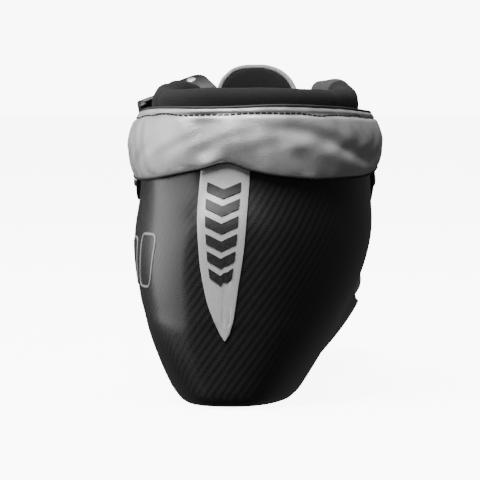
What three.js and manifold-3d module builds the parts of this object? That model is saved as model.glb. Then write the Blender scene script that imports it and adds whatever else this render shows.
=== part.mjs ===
// A carbon-shell racing boot for the left foot, in millimetres: +Z up, toe towards -Y, outer side of the foot
// towards +X. The heel's rearmost point is HEEL_Y, and stations along the foot ("reach") start there.
import * as THREE from "three";
import { mergeVertices } from "three/addons/utils/BufferGeometryUtils.js";
import Module from "manifold-3d";

const wasm = await Module();
wasm.setup();

// ---------------------------------------------------------------- driving dimensions
const LENGTH = 282; // heel to toe tip, outside
const HEEL_Y = LENGTH / 2;
const SHELL_WALL = 2.2;
const UPPER_WALL = 1.4;
const LINING_WALL = 1.4;
const LAYER_GAP = 0.7; // air between one layer of the upper and the next
const SHELL_GAP = 0.9; // air between the shell and the upper
const COLLAR_TOP = 119; // height of the padded collar at the heel
const SHELL_TOP = 93; // height of the shell's rim behind the ankle
const SHELL_RIM_TOE = 24; // height of the shell's rim round the toes
const CUFF_BELLY = 4.6; // how far the ankle cuff stands off the shell
const CUFF_EDGE = 2.2; // how far its two edges stand off
const CUFF_GAP = 1.6; // air between the shell and the cuff
const PAD_DEPTH = 5; // ankle foam between lining and upper
const TONGUE_THICK = 4;
const MOUNT_SPACING = 195; // between the two sole inserts
const LACE_R = 1.3;

// ---------------------------------------------------------------- curves through hand-set stations
const clamp = (v, low, high) => Math.min(high, Math.max(low, v));
const lerp = (a, b, k) => a + (b - a) * k;
const smoothstep = (a, b, v) => {
  const k = clamp((v - a) / (b - a), 0, 1);
  return k * k * (3 - 2 * k);
};

/** A smooth curve through [station, value] pairs, level beyond both ends. */
function through(...pairs) {
  const slope = pairs.map(([s, v], i) => {
    if (i === 0 || i === pairs.length - 1) return 0;
    const [s0, v0] = pairs[i - 1];
    const [s1, v1] = pairs[i + 1];
    const before = (v - v0) / (s - s0);
    const after = (v1 - v) / (s1 - s);
    return before * after <= 0 ? 0 : (2 * before * after) / (before + after);
  });
  return (s) => {
    if (s <= pairs[0][0]) return pairs[0][1];
    const i = pairs.findIndex(([station]) => station >= s);
    if (i < 0) return pairs[pairs.length - 1][1];
    const [s0, v0] = pairs[i - 1];
    const [s1, v1] = pairs[i];
    const h = s1 - s0;
    const k = (s - s0) / h;
    const rise = slope[i - 1] * h * k * (1 - k) ** 2 - slope[i] * h * k * k * (1 - k);
    return lerp(v0, v1, k * k * (3 - 2 * k)) + rise;
  };
}

// Half-widths of the foot at its widest, by reach: outer side, then inner side.
const TOE = LENGTH; // reach of the toe tip, which the stations of the forefoot are measured back from
const footOuter = through([0, 34], [60, 35.5], [120, 37], [TOE - 97, 50], [TOE - 52, 46], [TOE, 40]);
const footInner = through([0, 36], [60, 42], [120, 41], [TOE - 87, 45.5], [TOE - 42, 42], [TOE, 36]);
const soleShare = through([40, 0.55], [110, 0.5], [TOE - 92, 0.52], [TOE, 0.58]);
const footTop = through(
  [0, 55], [60, 74], [96, 92], [120, 89], [150, 77], [TOE - 97, 64], [TOE - 57, 53], [TOE, 46],
);
const soleRise = through([75, 0], [118, 5], [160, 0], [TOE - 46, 0], [TOE, 15]);
const TOE_CLOSING = 68; // how far before the toe tip the outline starts to close
const WIDEST_SHARE = 0.55; // how high up the section the foot is widest

// Half-widths of the heel and ankle by height, and how far the back of the heel is from the rearmost point.
const ankleOuter = through(
  [0, 22.5], [4, 25], [14, 29.5], [28, 34], [40, 35.5], [65, 35], [97, 37.5], [112, 34.5], [130, 33.5],
);
const ankleInner = through(
  [0, 21], [4, 23.5], [14, 30], [28, 39], [40, 44.5], [65, 49], [97, 51.5], [112, 48.5], [130, 47.5],
);
const heelBack = through([0, 10], [5, 6], [20, 1.5], [38, 0], [62, 2], [86, 5.5], [104, 5], [130, 2]);
const ANKLE_REACH = 64; // where the ankle is widest
const ANKLE_FRONT = 47; // from there to the front of the ankle
const ANKLE_BLEND = 26; // size of the hollow between ankle and instep

const superNorm = (a, b, n) => (Math.abs(a) ** n + Math.abs(b) ** n) ** (1 / n);
const softMax = (a, b, r) => {
  const h = Math.max(r - Math.abs(a - b), 0) / r;
  return Math.max(a, b) + (h * h * r) / 4;
};
const softMin = (a, b, r) => -softMax(-a, -b, r);
const bySide = (x, inner, outer) => lerp(inner, outer, smoothstep(-12, 12, x));

/** Below zero inside the foot part of the boot's outside, above zero outside it. */
function foot(x, reach, z) {
  const heelEnd = clamp((70 - reach) / 70, 0, 0.99999);
  const toeEnd = clamp((reach - TOE + TOE_CLOSING) / TOE_CLOSING, 0, 0.9999);
  const closing = (1 - heelEnd ** 2.8) ** (1 / 2.8) * (1 - toeEnd ** 2.7) ** (1 / 2.7);
  const open = bySide(x, footInner(reach), footOuter(reach));
  const half = open * closing;
  const low = soleRise(reach);
  const mid = lerp(low, footTop(reach), WIDEST_SHARE);
  const top = mid + (footTop(reach) - mid) * (1 - toeEnd ** 3) ** (1 / 3);
  if (z > mid) {
    return (superNorm(x / half, (z - mid) / (top - mid), 2.15) - 1) * Math.min(open, top - mid);
  }
  const share = soleShare(reach);
  const flare = 1 - (1 - clamp((z - low) / (mid - low), 0, 1)) ** 1.4;
  return softMax((Math.abs(x) - half * lerp(share, 1, flare)) * 0.8, low - z, 5);
}

/** The same for the heel and ankle, a column of rounded outlines one above another. */
function ankle(x, reach, z) {
  const half = bySide(x, ankleInner(z), ankleOuter(z));
  const behind = ANKLE_REACH - heelBack(z);
  const along = reach < ANKLE_REACH ? (reach - ANKLE_REACH) / behind : (reach - ANKLE_REACH) / ANKLE_FRONT;
  return softMax((superNorm(x / half, along, 2.25) - 1) * half, -z, 4);
}

/** Below zero inside the whole boot's outside. */
function outside(x, reach, z) {
  const body = softMin(foot(x, reach, z), ankle(x, reach, z), ANKLE_BLEND * smoothstep(30, 70, z) + 4);
  return Math.max(body, -reach, reach - LENGTH);
}

// ---------------------------------------------------------------- points on and off the outside surface
const at = (x, reach, z) => new THREE.Vector3(x, HEEL_Y - reach, z);
const valueAt = (p) => outside(p.x, HEEL_Y - p.y, p.z);

/** Where a ray from inside meets the boot's outside. */
function meet(from, way) {
  let near = 0;
  let far = 190;
  for (let i = 0; i < 34; i++) {
    const mid = (near + far) / 2;
    if (valueAt(from.clone().addScaledVector(way, mid)) < 0) near = mid;
    else far = mid;
  }
  return from.clone().addScaledVector(way, near);
}

/** The outward normal of the outside surface at a point on it. */
function normalAt(p) {
  const step = 0.4;
  const along = (dx, dy, dz) =>
    valueAt(new THREE.Vector3(p.x + dx, p.y + dy, p.z + dz)) - valueAt(new THREE.Vector3(p.x - dx, p.y - dy, p.z - dz));
  return new THREE.Vector3(along(step, 0, 0), along(0, step, 0), along(0, 0, step)).normalize();
}

// Rings, like the rings of a sock: 0 at the toe tip, 1 at the instep, 2 level with the ankle's foot, 3 on top.
const FAN_REACH = 150; // the rings between 1 and 2 fan round this line on top of the instep
const FAN_HEIGHT = 80;
const TOP_RING_HEIGHT = 130;
const RING_CENTRE_REACH = 66;
function ring(t) {
  if (t <= 1) {
    return { reach: lerp(LENGTH, FAN_REACH, t), z: lerp(22, FAN_HEIGHT - 44, t), eReach: 0, eZ: -1 };
  }
  if (t < 2) {
    const turn = ((t - 1) * Math.PI) / 2;
    const away = lerp(44, FAN_REACH - RING_CENTRE_REACH, t - 1);
    const [eReach, eZ] = [-Math.sin(turn), -Math.cos(turn)];
    return { reach: FAN_REACH + eReach * away, z: FAN_HEIGHT + eZ * away, eReach, eZ };
  }
  return { reach: RING_CENTRE_REACH, z: lerp(FAN_HEIGHT, TOP_RING_HEIGHT, t - 2), eReach: -1, eZ: 0 };
}
const ringAtHeight = (z) => 2 + (z - FAN_HEIGHT) / (TOP_RING_HEIGHT - FAN_HEIGHT);
const ringAtReach = (reach) => (LENGTH - reach) / (LENGTH - FAN_REACH);
const ringCentreX = through([0, 2], [0.6, 3], [1.2, -2], [2, -4.5], [3, -5.5]);

/** A point off the outside surface, on ring t at angle v: 0 is the front or top, positive the outer side. */
function skin(t, v, off = 0) {
  const r = ring(t);
  const from = at(ringCentreX(t), r.reach, r.z);
  const way = new THREE.Vector3(Math.sin(v), r.eReach * Math.cos(v), -r.eZ * Math.cos(v));
  const p = meet(from, way);
  return off ? p.addScaledVector(normalAt(p), off) : p;
}

// ---------------------------------------------------------------- solids
/** A geometry of plain positions and faces, turned so that it faces outwards. */
function solid(points, faces) {
  const position = new Float32Array(points.flatMap((p) => [p.x, p.y, p.z]));
  let geometry = new THREE.BufferGeometry().setAttribute("position", new THREE.BufferAttribute(position, 3));
  geometry.setIndex(faces);
  geometry = mergeVertices(geometry, 1e-4);
  const p = geometry.getAttribute("position");
  const index = [];
  let volume = 0;
  for (let i = 0; i < geometry.index.count; i += 3) {
    const [a, b, c] = [0, 1, 2].map((k) => geometry.index.getX(i + k));
    if (a === b || b === c || c === a) continue;
    index.push(a, b, c);
    const [va, vb, vc] = [a, b, c].map((k) => new THREE.Vector3().fromBufferAttribute(p, k));
    volume += va.dot(vb.cross(vc));
  }
  if (volume < 0) index.reverse();
  geometry.setIndex(index);
  return geometry;
}

/** A sheet with two sides, each a grid of points; "round" joins each row's last point to its first. */
function sheet(rows, columns, outerPoint, innerPoint, round = false) {
  const points = [];
  const faces = [];
  for (const side of [outerPoint, innerPoint]) {
    for (let i = 0; i <= rows; i++) for (let j = 0; j <= columns; j++) points.push(side(i / rows, j / columns));
  }
  const stride = columns + 1;
  const spot = (side, i, j) => side * (rows + 1) * stride + i * stride + (round && j === columns ? 0 : j);
  const quad = (a, b, c, d) => faces.push(a, b, c, a, c, d);
  for (let i = 0; i < rows; i++) {
    for (let j = 0; j < columns; j++) {
      quad(spot(0, i, j), spot(0, i, j + 1), spot(0, i + 1, j + 1), spot(0, i + 1, j));
      quad(spot(1, i, j), spot(1, i + 1, j), spot(1, i + 1, j + 1), spot(1, i, j + 1));
    }
  }
  for (let j = 0; j < columns; j++) {
    quad(spot(0, 0, j), spot(1, 0, j), spot(1, 0, j + 1), spot(0, 0, j + 1));
    quad(spot(0, rows, j), spot(0, rows, j + 1), spot(1, rows, j + 1), spot(1, rows, j));
  }
  for (let i = 0; i < rows && !round; i++) {
    quad(spot(0, i, 0), spot(0, i + 1, 0), spot(1, i + 1, 0), spot(1, i, 0));
    quad(spot(0, i, columns), spot(1, i, columns), spot(1, i + 1, columns), spot(0, i + 1, columns));
  }
  return solid(points, faces);
}

const asManifold = (geometry) => {
  const g = geometry.clone();
  for (const name of Object.keys(g.attributes)) if (name !== "position") g.deleteAttribute(name);
  const merged = mergeVertices(g, 1e-4);
  const triVerts = new Uint32Array(merged.index.array);
  return new wasm.Manifold(new wasm.Mesh({ numProp: 3, vertProperties: merged.attributes.position.array, triVerts }));
};
const asGeometry = (manifold) => {
  const mesh = manifold.getMesh();
  const geometry = new THREE.BufferGeometry();
  geometry.setAttribute("position", new THREE.BufferAttribute(new Float32Array(mesh.vertProperties), 3));
  return geometry.setIndex([...mesh.triVerts]);
};
const union = (...geometries) => asGeometry(geometries.map(asManifold).reduce((a, b) => a.add(b)));
const cut = (body, ...tools) =>
  asGeometry(tools.map(asManifold).reduce((a, b) => a.subtract(b), asManifold(body)));

const boot = new THREE.Group();
function add(name, geometry, colour, roughness, metalness = 0) {
  const material = new THREE.MeshStandardMaterial({ color: colour, roughness, metalness });
  const mesh = new THREE.Mesh(geometry, material);
  mesh.name = name;
  boot.add(mesh);
  return mesh;
}

// ---------------------------------------------------------------- shell
const rimHeight = through(
  [0, SHELL_TOP], [74, SHELL_TOP - 3], [100, 74], [128, 50], [160, 35],
  [TOE - 82, SHELL_RIM_TOE + 2], [TOE, SHELL_RIM_TOE],
);
const SPINE_HEIGHT = 26;
const SPINE_HEEL = 46; // the shell's two ends are swept round these points on the sole's middle line
const SPINE_TOE = TOE - 56;
const SHELL_AROUND = 60;
const SHELL_UP = 15;

/** Place and direction number k of n round the shell, from the heel along the outer side to the toe. */
function shellRay(k) {
  const ends = 0.22; // share of the way round taken by each rounded end
  const turn = (k % 1) * 2;
  const side = turn < 1 ? 1 : -1;
  const way = turn < 1 ? turn : 2 - turn;
  if (way < ends) {
    const a = (way / ends) * (Math.PI / 2);
    return { reach: SPINE_HEEL, x: side * Math.sin(a), y: Math.cos(a) };
  }
  if (way > 1 - ends) {
    const a = ((1 - way) / ends) * (Math.PI / 2);
    return { reach: SPINE_TOE, x: side * Math.sin(a), y: -Math.cos(a) };
  }
  return { reach: lerp(SPINE_HEEL, SPINE_TOE, (way - ends) / (1 - 2 * ends)), x: side, y: 0 };
}

/** The shell's surface: k goes round, h climbs from the sole's middle line (0) to the rim (1). */
function shellSkin(k, h, off) {
  const ray = shellRay(k);
  const from = at(0, ray.reach, SPINE_HEIGHT);
  const towards = (angle) => {
    const flat = Math.cos(angle);
    return meet(from, new THREE.Vector3(ray.x * flat, ray.y * flat, Math.sin(angle)));
  };
  let low = -0.2;
  let high = 1.35;
  for (let i = 0; i < 18; i++) {
    const mid = (low + high) / 2;
    const p = towards(mid);
    if (p.z < rimHeight(HEEL_Y - p.y)) low = mid;
    else high = mid;
  }
  const p = towards(lerp(-Math.PI / 2, low, h));
  return p.addScaledVector(normalAt(p), off);
}

function shellGeometry() {
  const outer = (h, k) => shellSkin(k, h, 0);
  const inner = (h, k) => shellSkin(k, h, -SHELL_WALL);
  const points = [];
  const faces = [];
  const stride = SHELL_AROUND;
  for (const side of [outer, inner]) {
    for (let i = 0; i <= SHELL_UP; i++) for (let j = 0; j < stride; j++) points.push(side(i / SHELL_UP, j / stride));
  }
  const spot = (side, i, j) => (side * (SHELL_UP + 1) + i) * stride + (j % stride);
  const quad = (a, b, c, d) => faces.push(a, b, c, a, c, d);
  for (let i = 0; i < SHELL_UP; i++) {
    for (let j = 0; j < stride; j++) {
      quad(spot(0, i, j), spot(0, i, j + 1), spot(0, i + 1, j + 1), spot(0, i + 1, j));
      quad(spot(1, i, j), spot(1, i + 1, j), spot(1, i + 1, j + 1), spot(1, i, j + 1));
    }
  }
  for (let j = 0; j < stride; j++) {
    quad(spot(0, SHELL_UP, j), spot(0, SHELL_UP, j + 1), spot(1, SHELL_UP, j + 1), spot(1, SHELL_UP, j));
  }
  return solid(points, faces);
}
add("carbon_shell", shellGeometry(), 0x15161a, 0.35, 0.1);

// ---------------------------------------------------------------- upper, in rings
const throatHalf = through([0.6, 9], [1, 15], [2, 19], [3, 23]);
/** The angle on ring t of a point "half" millimetres to the side of its front. */
const sideAngle = (t, half) => {
  const r = ring(t);
  const top = skin(t, 0);
  return Math.atan(half / Math.hypot(top.z - r.z, HEEL_Y - top.y - r.reach));
};
const throatAngle = (t, beyond = 0) => sideAngle(t, throatHalf(t) + beyond);
const UPPER_OFF = -SHELL_WALL - SHELL_GAP; // outer face of the fabric upper, just inside the shell
const ringOfShell = through([0.02, 1.75], [0.5, 1.85], [1, 2.0], [1.5, 2.0], [2, 2.0], [2.55, 2.2], [3, 2.2]);

/** Spreads columns that run right round so that they are closer together behind the heel. */
const heelward = (j) => j + (0.4 * Math.sin(2 * Math.PI * j)) / (2 * Math.PI);

/** A piece of the upper from ring t0(v) to ring t1(v), between two angles that may change from ring to ring. */
function layer(t0, t1, vStart, vEnd, rows, columns, offOuter, offInner, spread = (j) => j) {
  const value = (given, ...of) => (typeof given === "function" ? given(...of) : given);
  const spot = (off) => (i, j) => {
    let t = 0;
    let v = 0;
    for (let pass = 0; pass < 6; pass++) {
      t = lerp(value(t0, v), value(t1, v), i);
      v = lerp(vStart(t), vEnd(t), spread(j));
    }
    return skin(t, v, value(off, t, i, j));
  };
  return sheet(rows, columns, spot(offOuter), spot(offInner));
}
const CUFF_LAP = 6; // how far the cuff laps down over the shell's rim
const CUFF_LOW = SHELL_TOP - CUFF_LAP; // height of the cuff's lower edge beside the heel
const CUFF_NOTCH = 4.5; // how much higher that edge is right behind the heel
const CUFF_HIGH = 111;
const CUFF_END = 1.3; // angle from the front at which the cuff ends
const cuffOff = (i) =>
  CUFF_EDGE + (CUFF_BELLY - CUFF_EDGE) * Math.sin(Math.PI * clamp(i * 0.94 + 0.08, 0, 1)) ** 0.7;
const cuffLow = (v) => CUFF_LOW + CUFF_NOTCH * Math.exp(-(((v - Math.PI - 0.02) / 0.3) ** 2));
function cuffGeometry() {
  const spot = (off) => (i, j) => {
    const v = lerp(CUFF_END, 2 * Math.PI - CUFF_END, heelward(j));
    return skin(ringAtHeight(lerp(cuffLow(v), CUFF_HIGH, i)), v, off(i));
  };
  return sheet(6, 30, spot(cuffOff), spot(() => CUFF_GAP));
}
add("ankle_cuff", cuffGeometry(), 0xb9bbbd, 0.35, 0.6);

// Toe box and side panels, set just inside the shell.
const TOE_JOIN = 0.58; // ring where the toe box meets the side panels on top of the foot
const TOE_WINGS_OUTER = 0.22; // how many rings further back it reaches down each side
const TOE_WINGS_INNER = 0.30;
const toeWings = (v) => (v < 0 ? TOE_WINGS_INNER : TOE_WINGS_OUTER);
const toeJoin = (v) => TOE_JOIN + toeWings(v) * smoothstep(0.4, 1.05, Math.abs(v));
const PANEL_END = 2.68; // ring where the side panels stop, under the cuff's upper edge
const TOE_SWELL = 2.6; // how far the toe box puffs out above the shell's rim
const SWELL_END = 0.84; // ring where the rim climbs over the toe box and the puff ends
const toeSwell = (wall) => (t, i, j) => {
  const fromTop = Math.abs(2 * j - 1);
  const sides = smoothstep(0.28, 0.5, fromTop) * smoothstep(0.9, 0.7, fromTop);
  const where = sides * smoothstep(0, 0.3, i) * smoothstep(SWELL_END, SWELL_END - 0.12, t);
  return UPPER_OFF - wall + TOE_SWELL * where;
};
add(
  "toe_box",
  layer(0.006, toeJoin, (t) => -ringOfShell(t), (t) => ringOfShell(t), 15, 18, toeSwell(0), toeSwell(UPPER_WALL)),
  0xb9bbbd, 0.4, 0.5,
);
const STAY_WIDTH = 13;
for (const [side, sign] of [["outer", 1], ["inner", -1]]) {
  add(
    side + "_side_panel",
    layer((v) => toeJoin(v) + 0.014, PANEL_END, (t) => sign * throatAngle(t), (t) => sign * ringOfShell(t), 20, 13,
      UPPER_OFF, UPPER_OFF - UPPER_WALL),
    0x2a2c2f, 0.6,
  );
}

// Lining: one sock from the toe box's join to the collar, open along the throat.
const LINING_ANKLE = UPPER_OFF - UPPER_WALL - LAYER_GAP - PAD_DEPTH - LAYER_GAP;
const LINING_FOOT = UPPER_OFF - UPPER_WALL - LAYER_GAP;
const liningOff = (t) => lerp(LINING_FOOT, LINING_ANKLE, smoothstep(1.15, 1.7, t));
const liningEdge = (t) => throatAngle(t, STAY_WIDTH + 4);
add(
  "lining",
  layer(TOE_JOIN + 0.012, PANEL_END, liningEdge, (t) => 2 * Math.PI - liningEdge(t), 17, 30,
    (t) => liningOff(t), (t) => liningOff(t) - LINING_WALL, heelward),
  0x101012, 0.9,
);
const STIFFENER_OFF = LINING_FOOT - 0.5;
add(
  "toe_stiffener",
  layer(0.08, TOE_JOIN - 0.03, (t) => -ringOfShell(t) + 0.1, (t) => ringOfShell(t) - 0.1, 7, 16,
    STIFFENER_OFF, STIFFENER_OFF - LINING_WALL),
  0x8a8375, 0.8,
);

// Ankle foam between lining and panels, one pad a side, and a heel pad.
const arch = (share) => Math.sin(Math.PI * clamp(share, 0.02, 0.98));
const padBulge = (i, j) => LAYER_GAP + 0.6 + (PAD_DEPTH - 2.4) * Math.sqrt(arch(i) * arch(j));
function pad(name, t0, t1, v0, v1) {
  const back = LINING_ANKLE + LAYER_GAP + 0.6;
  add(name, layer(t0, t1, () => v0, () => v1, 7, 8, (t, i, j) => back + padBulge(i, j), () => back), 0x3a3c40, 0.9);
}
pad("outer_ankle_pad", 1.85, 2.55, 1.25, 2.35);
pad("inner_ankle_pad", 1.85, 2.55, -1.25, -2.35);
pad("heel_pad", 1.78, 2.3, 2.78, 2 * Math.PI - 2.78);

// ---------------------------------------------------------------- collar, tongue and footbed
const COLLAR_LOW = 114.5;
const COLLAR_FRONT_RISE = 4.5; // how much higher the collar is beside the tongue than behind the heel
const collarTop = (v) => COLLAR_TOP + (COLLAR_FRONT_RISE * (1 + Math.cos(v))) / 2;
function collarGeometry() {
  const thick = UPPER_OFF - (LINING_ANKLE - LINING_WALL);
  const spot = (outer) => (i, j) => {
    const v = lerp(0.62, 2 * Math.PI - 0.62, heelward(j));
    const round = (1 - Math.sqrt(1 - (0.97 * i) ** 2)) * thick * 0.42;
    const off = outer ? UPPER_OFF - round : UPPER_OFF - thick + round;
    return skin(ringAtHeight(lerp(COLLAR_LOW, collarTop(v), i)), v, off);
  };
  return sheet(4, 26, spot(true), spot(false));
}
add("collar_roll", collarGeometry(), 0x0c0c0d, 0.95);

const TONGUE_START = 0.6;
const TONGUE_END = 2.965;
const TONGUE_HALF = 25;
const LACE_ROOM = 2 * LACE_R + 1.9; // space between panel and tongue that the lace runs in
const TONGUE_OFF = UPPER_OFF - UPPER_WALL - LACE_ROOM;
const TONGUE_ROUND = 2.62; // ring where the tongue's rounded top starts
const tongueHalf = (t) => {
  const rounded = Math.sqrt(1 - (clamp((t - TONGUE_ROUND) / (TONGUE_END - TONGUE_ROUND), 0, 0.985)) ** 2);
  return sideAngle(t, TONGUE_HALF * rounded * lerp(0.72, 1, smoothstep(0.6, 1.3, t)));
};
add(
  "tongue",
  layer(TONGUE_START, TONGUE_END, (t) => -tongueHalf(t), (t) => tongueHalf(t), 18, 6,
    TONGUE_OFF, TONGUE_OFF - TONGUE_THICK),
  0x121214, 0.9,
);

const FOOTBED_THICK = 3.2;
const FOOTBED_GAP = 2;
add(
  "footbed",
  layer(0.1, 1.6, () => Math.PI - 0.62, () => Math.PI + 0.62, 20, 6,
    (t) => liningOff(t) - LINING_WALL - FOOTBED_GAP, (t) => liningOff(t) - LINING_WALL - FOOTBED_GAP - FOOTBED_THICK),
  0x33363a, 0.9,
);

// ---------------------------------------------------------------- heel stripe
const STRIPE_LOW = 25;
const STRIPE_TOP = 90;
const STRIPE_HALF = 9.3;
const STRIPE_OFF = 1.5;
function stripeGeometry() {
  const spot = (off) => (i, j) => {
    const z = lerp(STRIPE_LOW, STRIPE_TOP, i);
    const turn = Math.atan2(FAN_HEIGHT - z, FAN_REACH - 3) / (Math.PI / 2);
    const t = z < FAN_HEIGHT ? 2 - turn : ringAtHeight(z);
    const taper = Math.sin((Math.PI / 2) * clamp(i * 1.45 + 0.03, 0, 1)) ** 0.8;
    const half = (STRIPE_HALF * taper) / (RING_CENTRE_REACH - 2);
    return skin(t, Math.PI - 0.02 + half * (2 * j - 1), off);
  };
  return sheet(9, 4, spot(STRIPE_OFF + 0.6), spot(STRIPE_OFF));
}
add("heel_stripe", stripeGeometry(), 0xc8c9ca, 0.3, 0.7);

// ---------------------------------------------------------------- eyestays, eyelets and lace
const STAY_GAP = 0.8;
const STAY_WALL = 1.3;
const STAY_START = 0.61;
const STAY_END = 2.3;
const EYELET_RINGS = [0.66, 0.768, 0.876, 0.984, 2.16];
const EYELET_INSET = 6.5; // from the throat's edge to an eyelet's centre
const EYELET_HOLE = 2;
const EYELET_BARREL = 2.6;
const EYELET_FLANGE = 3.7;
const EYELET_CLEAR = 0.6;
const FLANGE_LOW = STAY_GAP + STAY_WALL + 0.6;
const EYELET_TOP = FLANGE_LOW + 0.7;

/** Where an eyelet's axis meets the outside surface, and the way it points. */
function eyeletAt(sign, i) {
  const t = EYELET_RINGS[i];
  const p = skin(t, sign * throatAngle(t, EYELET_INSET));
  return { p, normal: normalAt(p) };
}
/** Puts a geometry made along +Z onto an axis, its zero "off" the outside surface. */
function standing(geometry, { p, normal }, off) {
  const turn = new THREE.Quaternion().setFromUnitVectors(new THREE.Vector3(0, 0, 1), normal);
  const place = p.clone().addScaledVector(normal, off);
  return geometry.applyQuaternion(turn).translate(place.x, place.y, place.z);
}
const rod = (r, z0, z1, sides = 12) =>
  new THREE.CylinderGeometry(r, r, z1 - z0, sides).rotateX(Math.PI / 2).translate(0, 0, (z0 + z1) / 2);
/** A turned piece from its [radius, height] outline. */
const turned = (outline, sides) => {
  const points = [...outline, outline[0]].map(([r, z]) => new THREE.Vector2(r, z));
  const turn = new THREE.LatheGeometry(points, sides).rotateX(Math.PI / 2);
  return mergeVertices(turn.deleteAttribute("uv").deleteAttribute("normal"));
};
for (const [side, sign] of [["outer", 1], ["inner", -1]]) {
  const axes = EYELET_RINGS.map((_, i) => eyeletAt(sign, i));
  const holes = axes.map((axis) => standing(rod(EYELET_BARREL + EYELET_CLEAR, -9, 9), axis, 0));
  const stay = layer(STAY_START, STAY_END, (t) => sign * throatAngle(t, 0.5), (t) => sign * throatAngle(t, STAY_WIDTH),
    14, 3, UPPER_OFF + STAY_GAP + STAY_WALL, UPPER_OFF + STAY_GAP);
  add(side + "_eyestay", cut(stay, ...holes), 0x1b1c1e, 0.6);
  const panel = boot.getObjectByName(side + "_side_panel");
  panel.geometry = cut(panel.geometry, ...holes);
  axes.forEach((axis, i) => {
    const eyelet = turned([
      [EYELET_HOLE, -UPPER_WALL - 0.3], [EYELET_BARREL, -UPPER_WALL - 0.3], [EYELET_BARREL, FLANGE_LOW],
      [EYELET_FLANGE, FLANGE_LOW], [EYELET_FLANGE - 0.4, EYELET_TOP], [EYELET_HOLE, EYELET_TOP],
    ], 12);
    add(`${side}_eyelet_${i + 1}`, standing(eyelet, axis, UPPER_OFF), 0x8d9095, 0.3, 0.9);
  });
}

/** The outside surface under or over a point, and off it. */
function onSkin(p, off) {
  const normal = normalAt(p);
  const q = meet(p.clone().addScaledVector(normal, -15), normal);
  return q.addScaledVector(normalAt(q), off);
}
// The lace crosses over each pair of eyelets and goes on to the next pair under the panels.
const LACE_UNDER = UPPER_OFF - UPPER_WALL - LACE_ROOM / 2;
const LACE_OVER = UPPER_OFF + EYELET_TOP + LACE_R + 0.5;
function lacePath() {
  const path = [];
  EYELET_RINGS.forEach((ringNumber, i) => {
    const [from, to] = i % 2 ? [-1, 1] : [1, -1];
    const [a, b] = [eyeletAt(from, i), eyeletAt(to, i)];
    const heights = [LACE_UNDER + 1.2, UPPER_OFF, LACE_OVER - 0.9];
    const through = ({ p, normal }) => heights.map((off) => p.clone().addScaledVector(normal, off));
    const bar = [0.16, 0.33, 0.5, 0.67, 0.84].map((k) => onSkin(a.p.clone().lerp(b.p, k), LACE_OVER));
    path.push(...through(a), ...bar, ...through(b).reverse());
    if (i === EYELET_RINGS.length - 1) return;
    const next = eyeletAt(to, i + 1);
    path.push(...[0.2, 0.4, 0.6, 0.8].map((k) => onSkin(b.p.clone().lerp(next.p, k), LACE_UNDER)));
  });
  return new THREE.CatmullRomCurve3(path, false, "centripetal");
}
/** A round cord along a curve, with flat ends. */
function cord(curve, r, steps, sides) {
  const frames = curve.computeFrenetFrames(steps, false);
  const points = [];
  const faces = [];
  for (let i = 0; i <= steps; i++) {
    const centre = curve.getPointAt(i / steps);
    for (let j = 0; j < sides; j++) {
      const a = (j / sides) * 2 * Math.PI;
      const side = frames.normals[i].clone().multiplyScalar(Math.cos(a) * r);
      points.push(centre.clone().add(side).addScaledVector(frames.binormals[i], Math.sin(a) * r));
    }
  }
  for (let i = 0; i < steps; i++) {
    for (let j = 0; j < sides; j++) {
      const [a, b] = [i * sides + j, i * sides + ((j + 1) % sides)];
      faces.push(a, b, b + sides, a, b + sides, a + sides);
    }
  }
  for (let j = 1; j < sides - 1; j++) {
    faces.push(0, j + 1, j, steps * sides, steps * sides + j, steps * sides + j + 1);
  }
  return solid(points, faces);
}
add("lace", cord(lacePath(), LACE_R, 160, 6), 0x17181a, 0.85);

// ---------------------------------------------------------------- instep strap and its buckle
const STRAP_LEAN = Math.PI / 4;
const STRAP_WIDTH = 20;
const STRAP_THICK = 2;
const STRAP_OFF = 1;
const BUCKLE_ANGLE = 0.5;
const LADDER_LIFT = 7.7; // how much higher the ladder runs through the buckle
const [leanReach, leanZ] = [Math.cos(STRAP_LEAN), Math.sin(STRAP_LEAN)];
const STRAP_EDGE_REACH = 76.93; // the strap's upper edge, where it clears the front ends of the cuff
const STRAP_EDGE_HEIGHT = 83.07;
const STRAP_REACH = STRAP_EDGE_REACH + (STRAP_WIDTH / 2) * leanZ; // the middle of the strap's leaning plane
const STRAP_HEIGHT = STRAP_EDGE_HEIGHT - (STRAP_WIDTH / 2) * leanReach;

/** The outside surface at an angle round the strap's line, "across" towards the strap's upper edge. */
function strapSkin(angle, across, off) {
  const from = at(-4, STRAP_REACH - across * leanZ, STRAP_HEIGHT + across * leanReach);
  const way = new THREE.Vector3(Math.sin(angle), -Math.cos(angle) * leanReach, Math.cos(angle) * leanZ);
  const p = meet(from, way);
  return p.addScaledVector(normalAt(p), off);
}
function band(start, end, steps, offAt) {
  const spot = (extra) => (i, j) => {
    const angle = lerp(start, end, i);
    const across = (j - 0.5) * STRAP_WIDTH;
    return strapSkin(angle, across, offAt(angle) + extra);
  };
  return sheet(steps, 4, spot(STRAP_THICK), spot(0));
}
const STRAP_END = 1.5;
const strapAnchor = (sign) => {
  const p = strapSkin(sign * (STRAP_END - 0.14), 0, 0);
  return { p, normal: normalAt(p) };
};
const RIVET_R = 2.2;
const shell = boot.getObjectByName("carbon_shell");
const rivetHole = (sign) => standing(rod(RIVET_R + 0.35, -9, 12), strapAnchor(sign), 0);
shell.geometry = cut(shell.geometry, rivetHole(1), rivetHole(-1));
const ladderOff = (angle) => STRAP_OFF + LADDER_LIFT * smoothstep(-0.35, 0.15, angle);
add("ladder_strap", cut(band(-STRAP_END, 0.98, 20, ladderOff), rivetHole(-1)), 0x202226, 0.55);
add("outer_strap", cut(band(0.24, STRAP_END, 12, () => STRAP_OFF), rivetHole(1)), 0x202226, 0.6);
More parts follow.
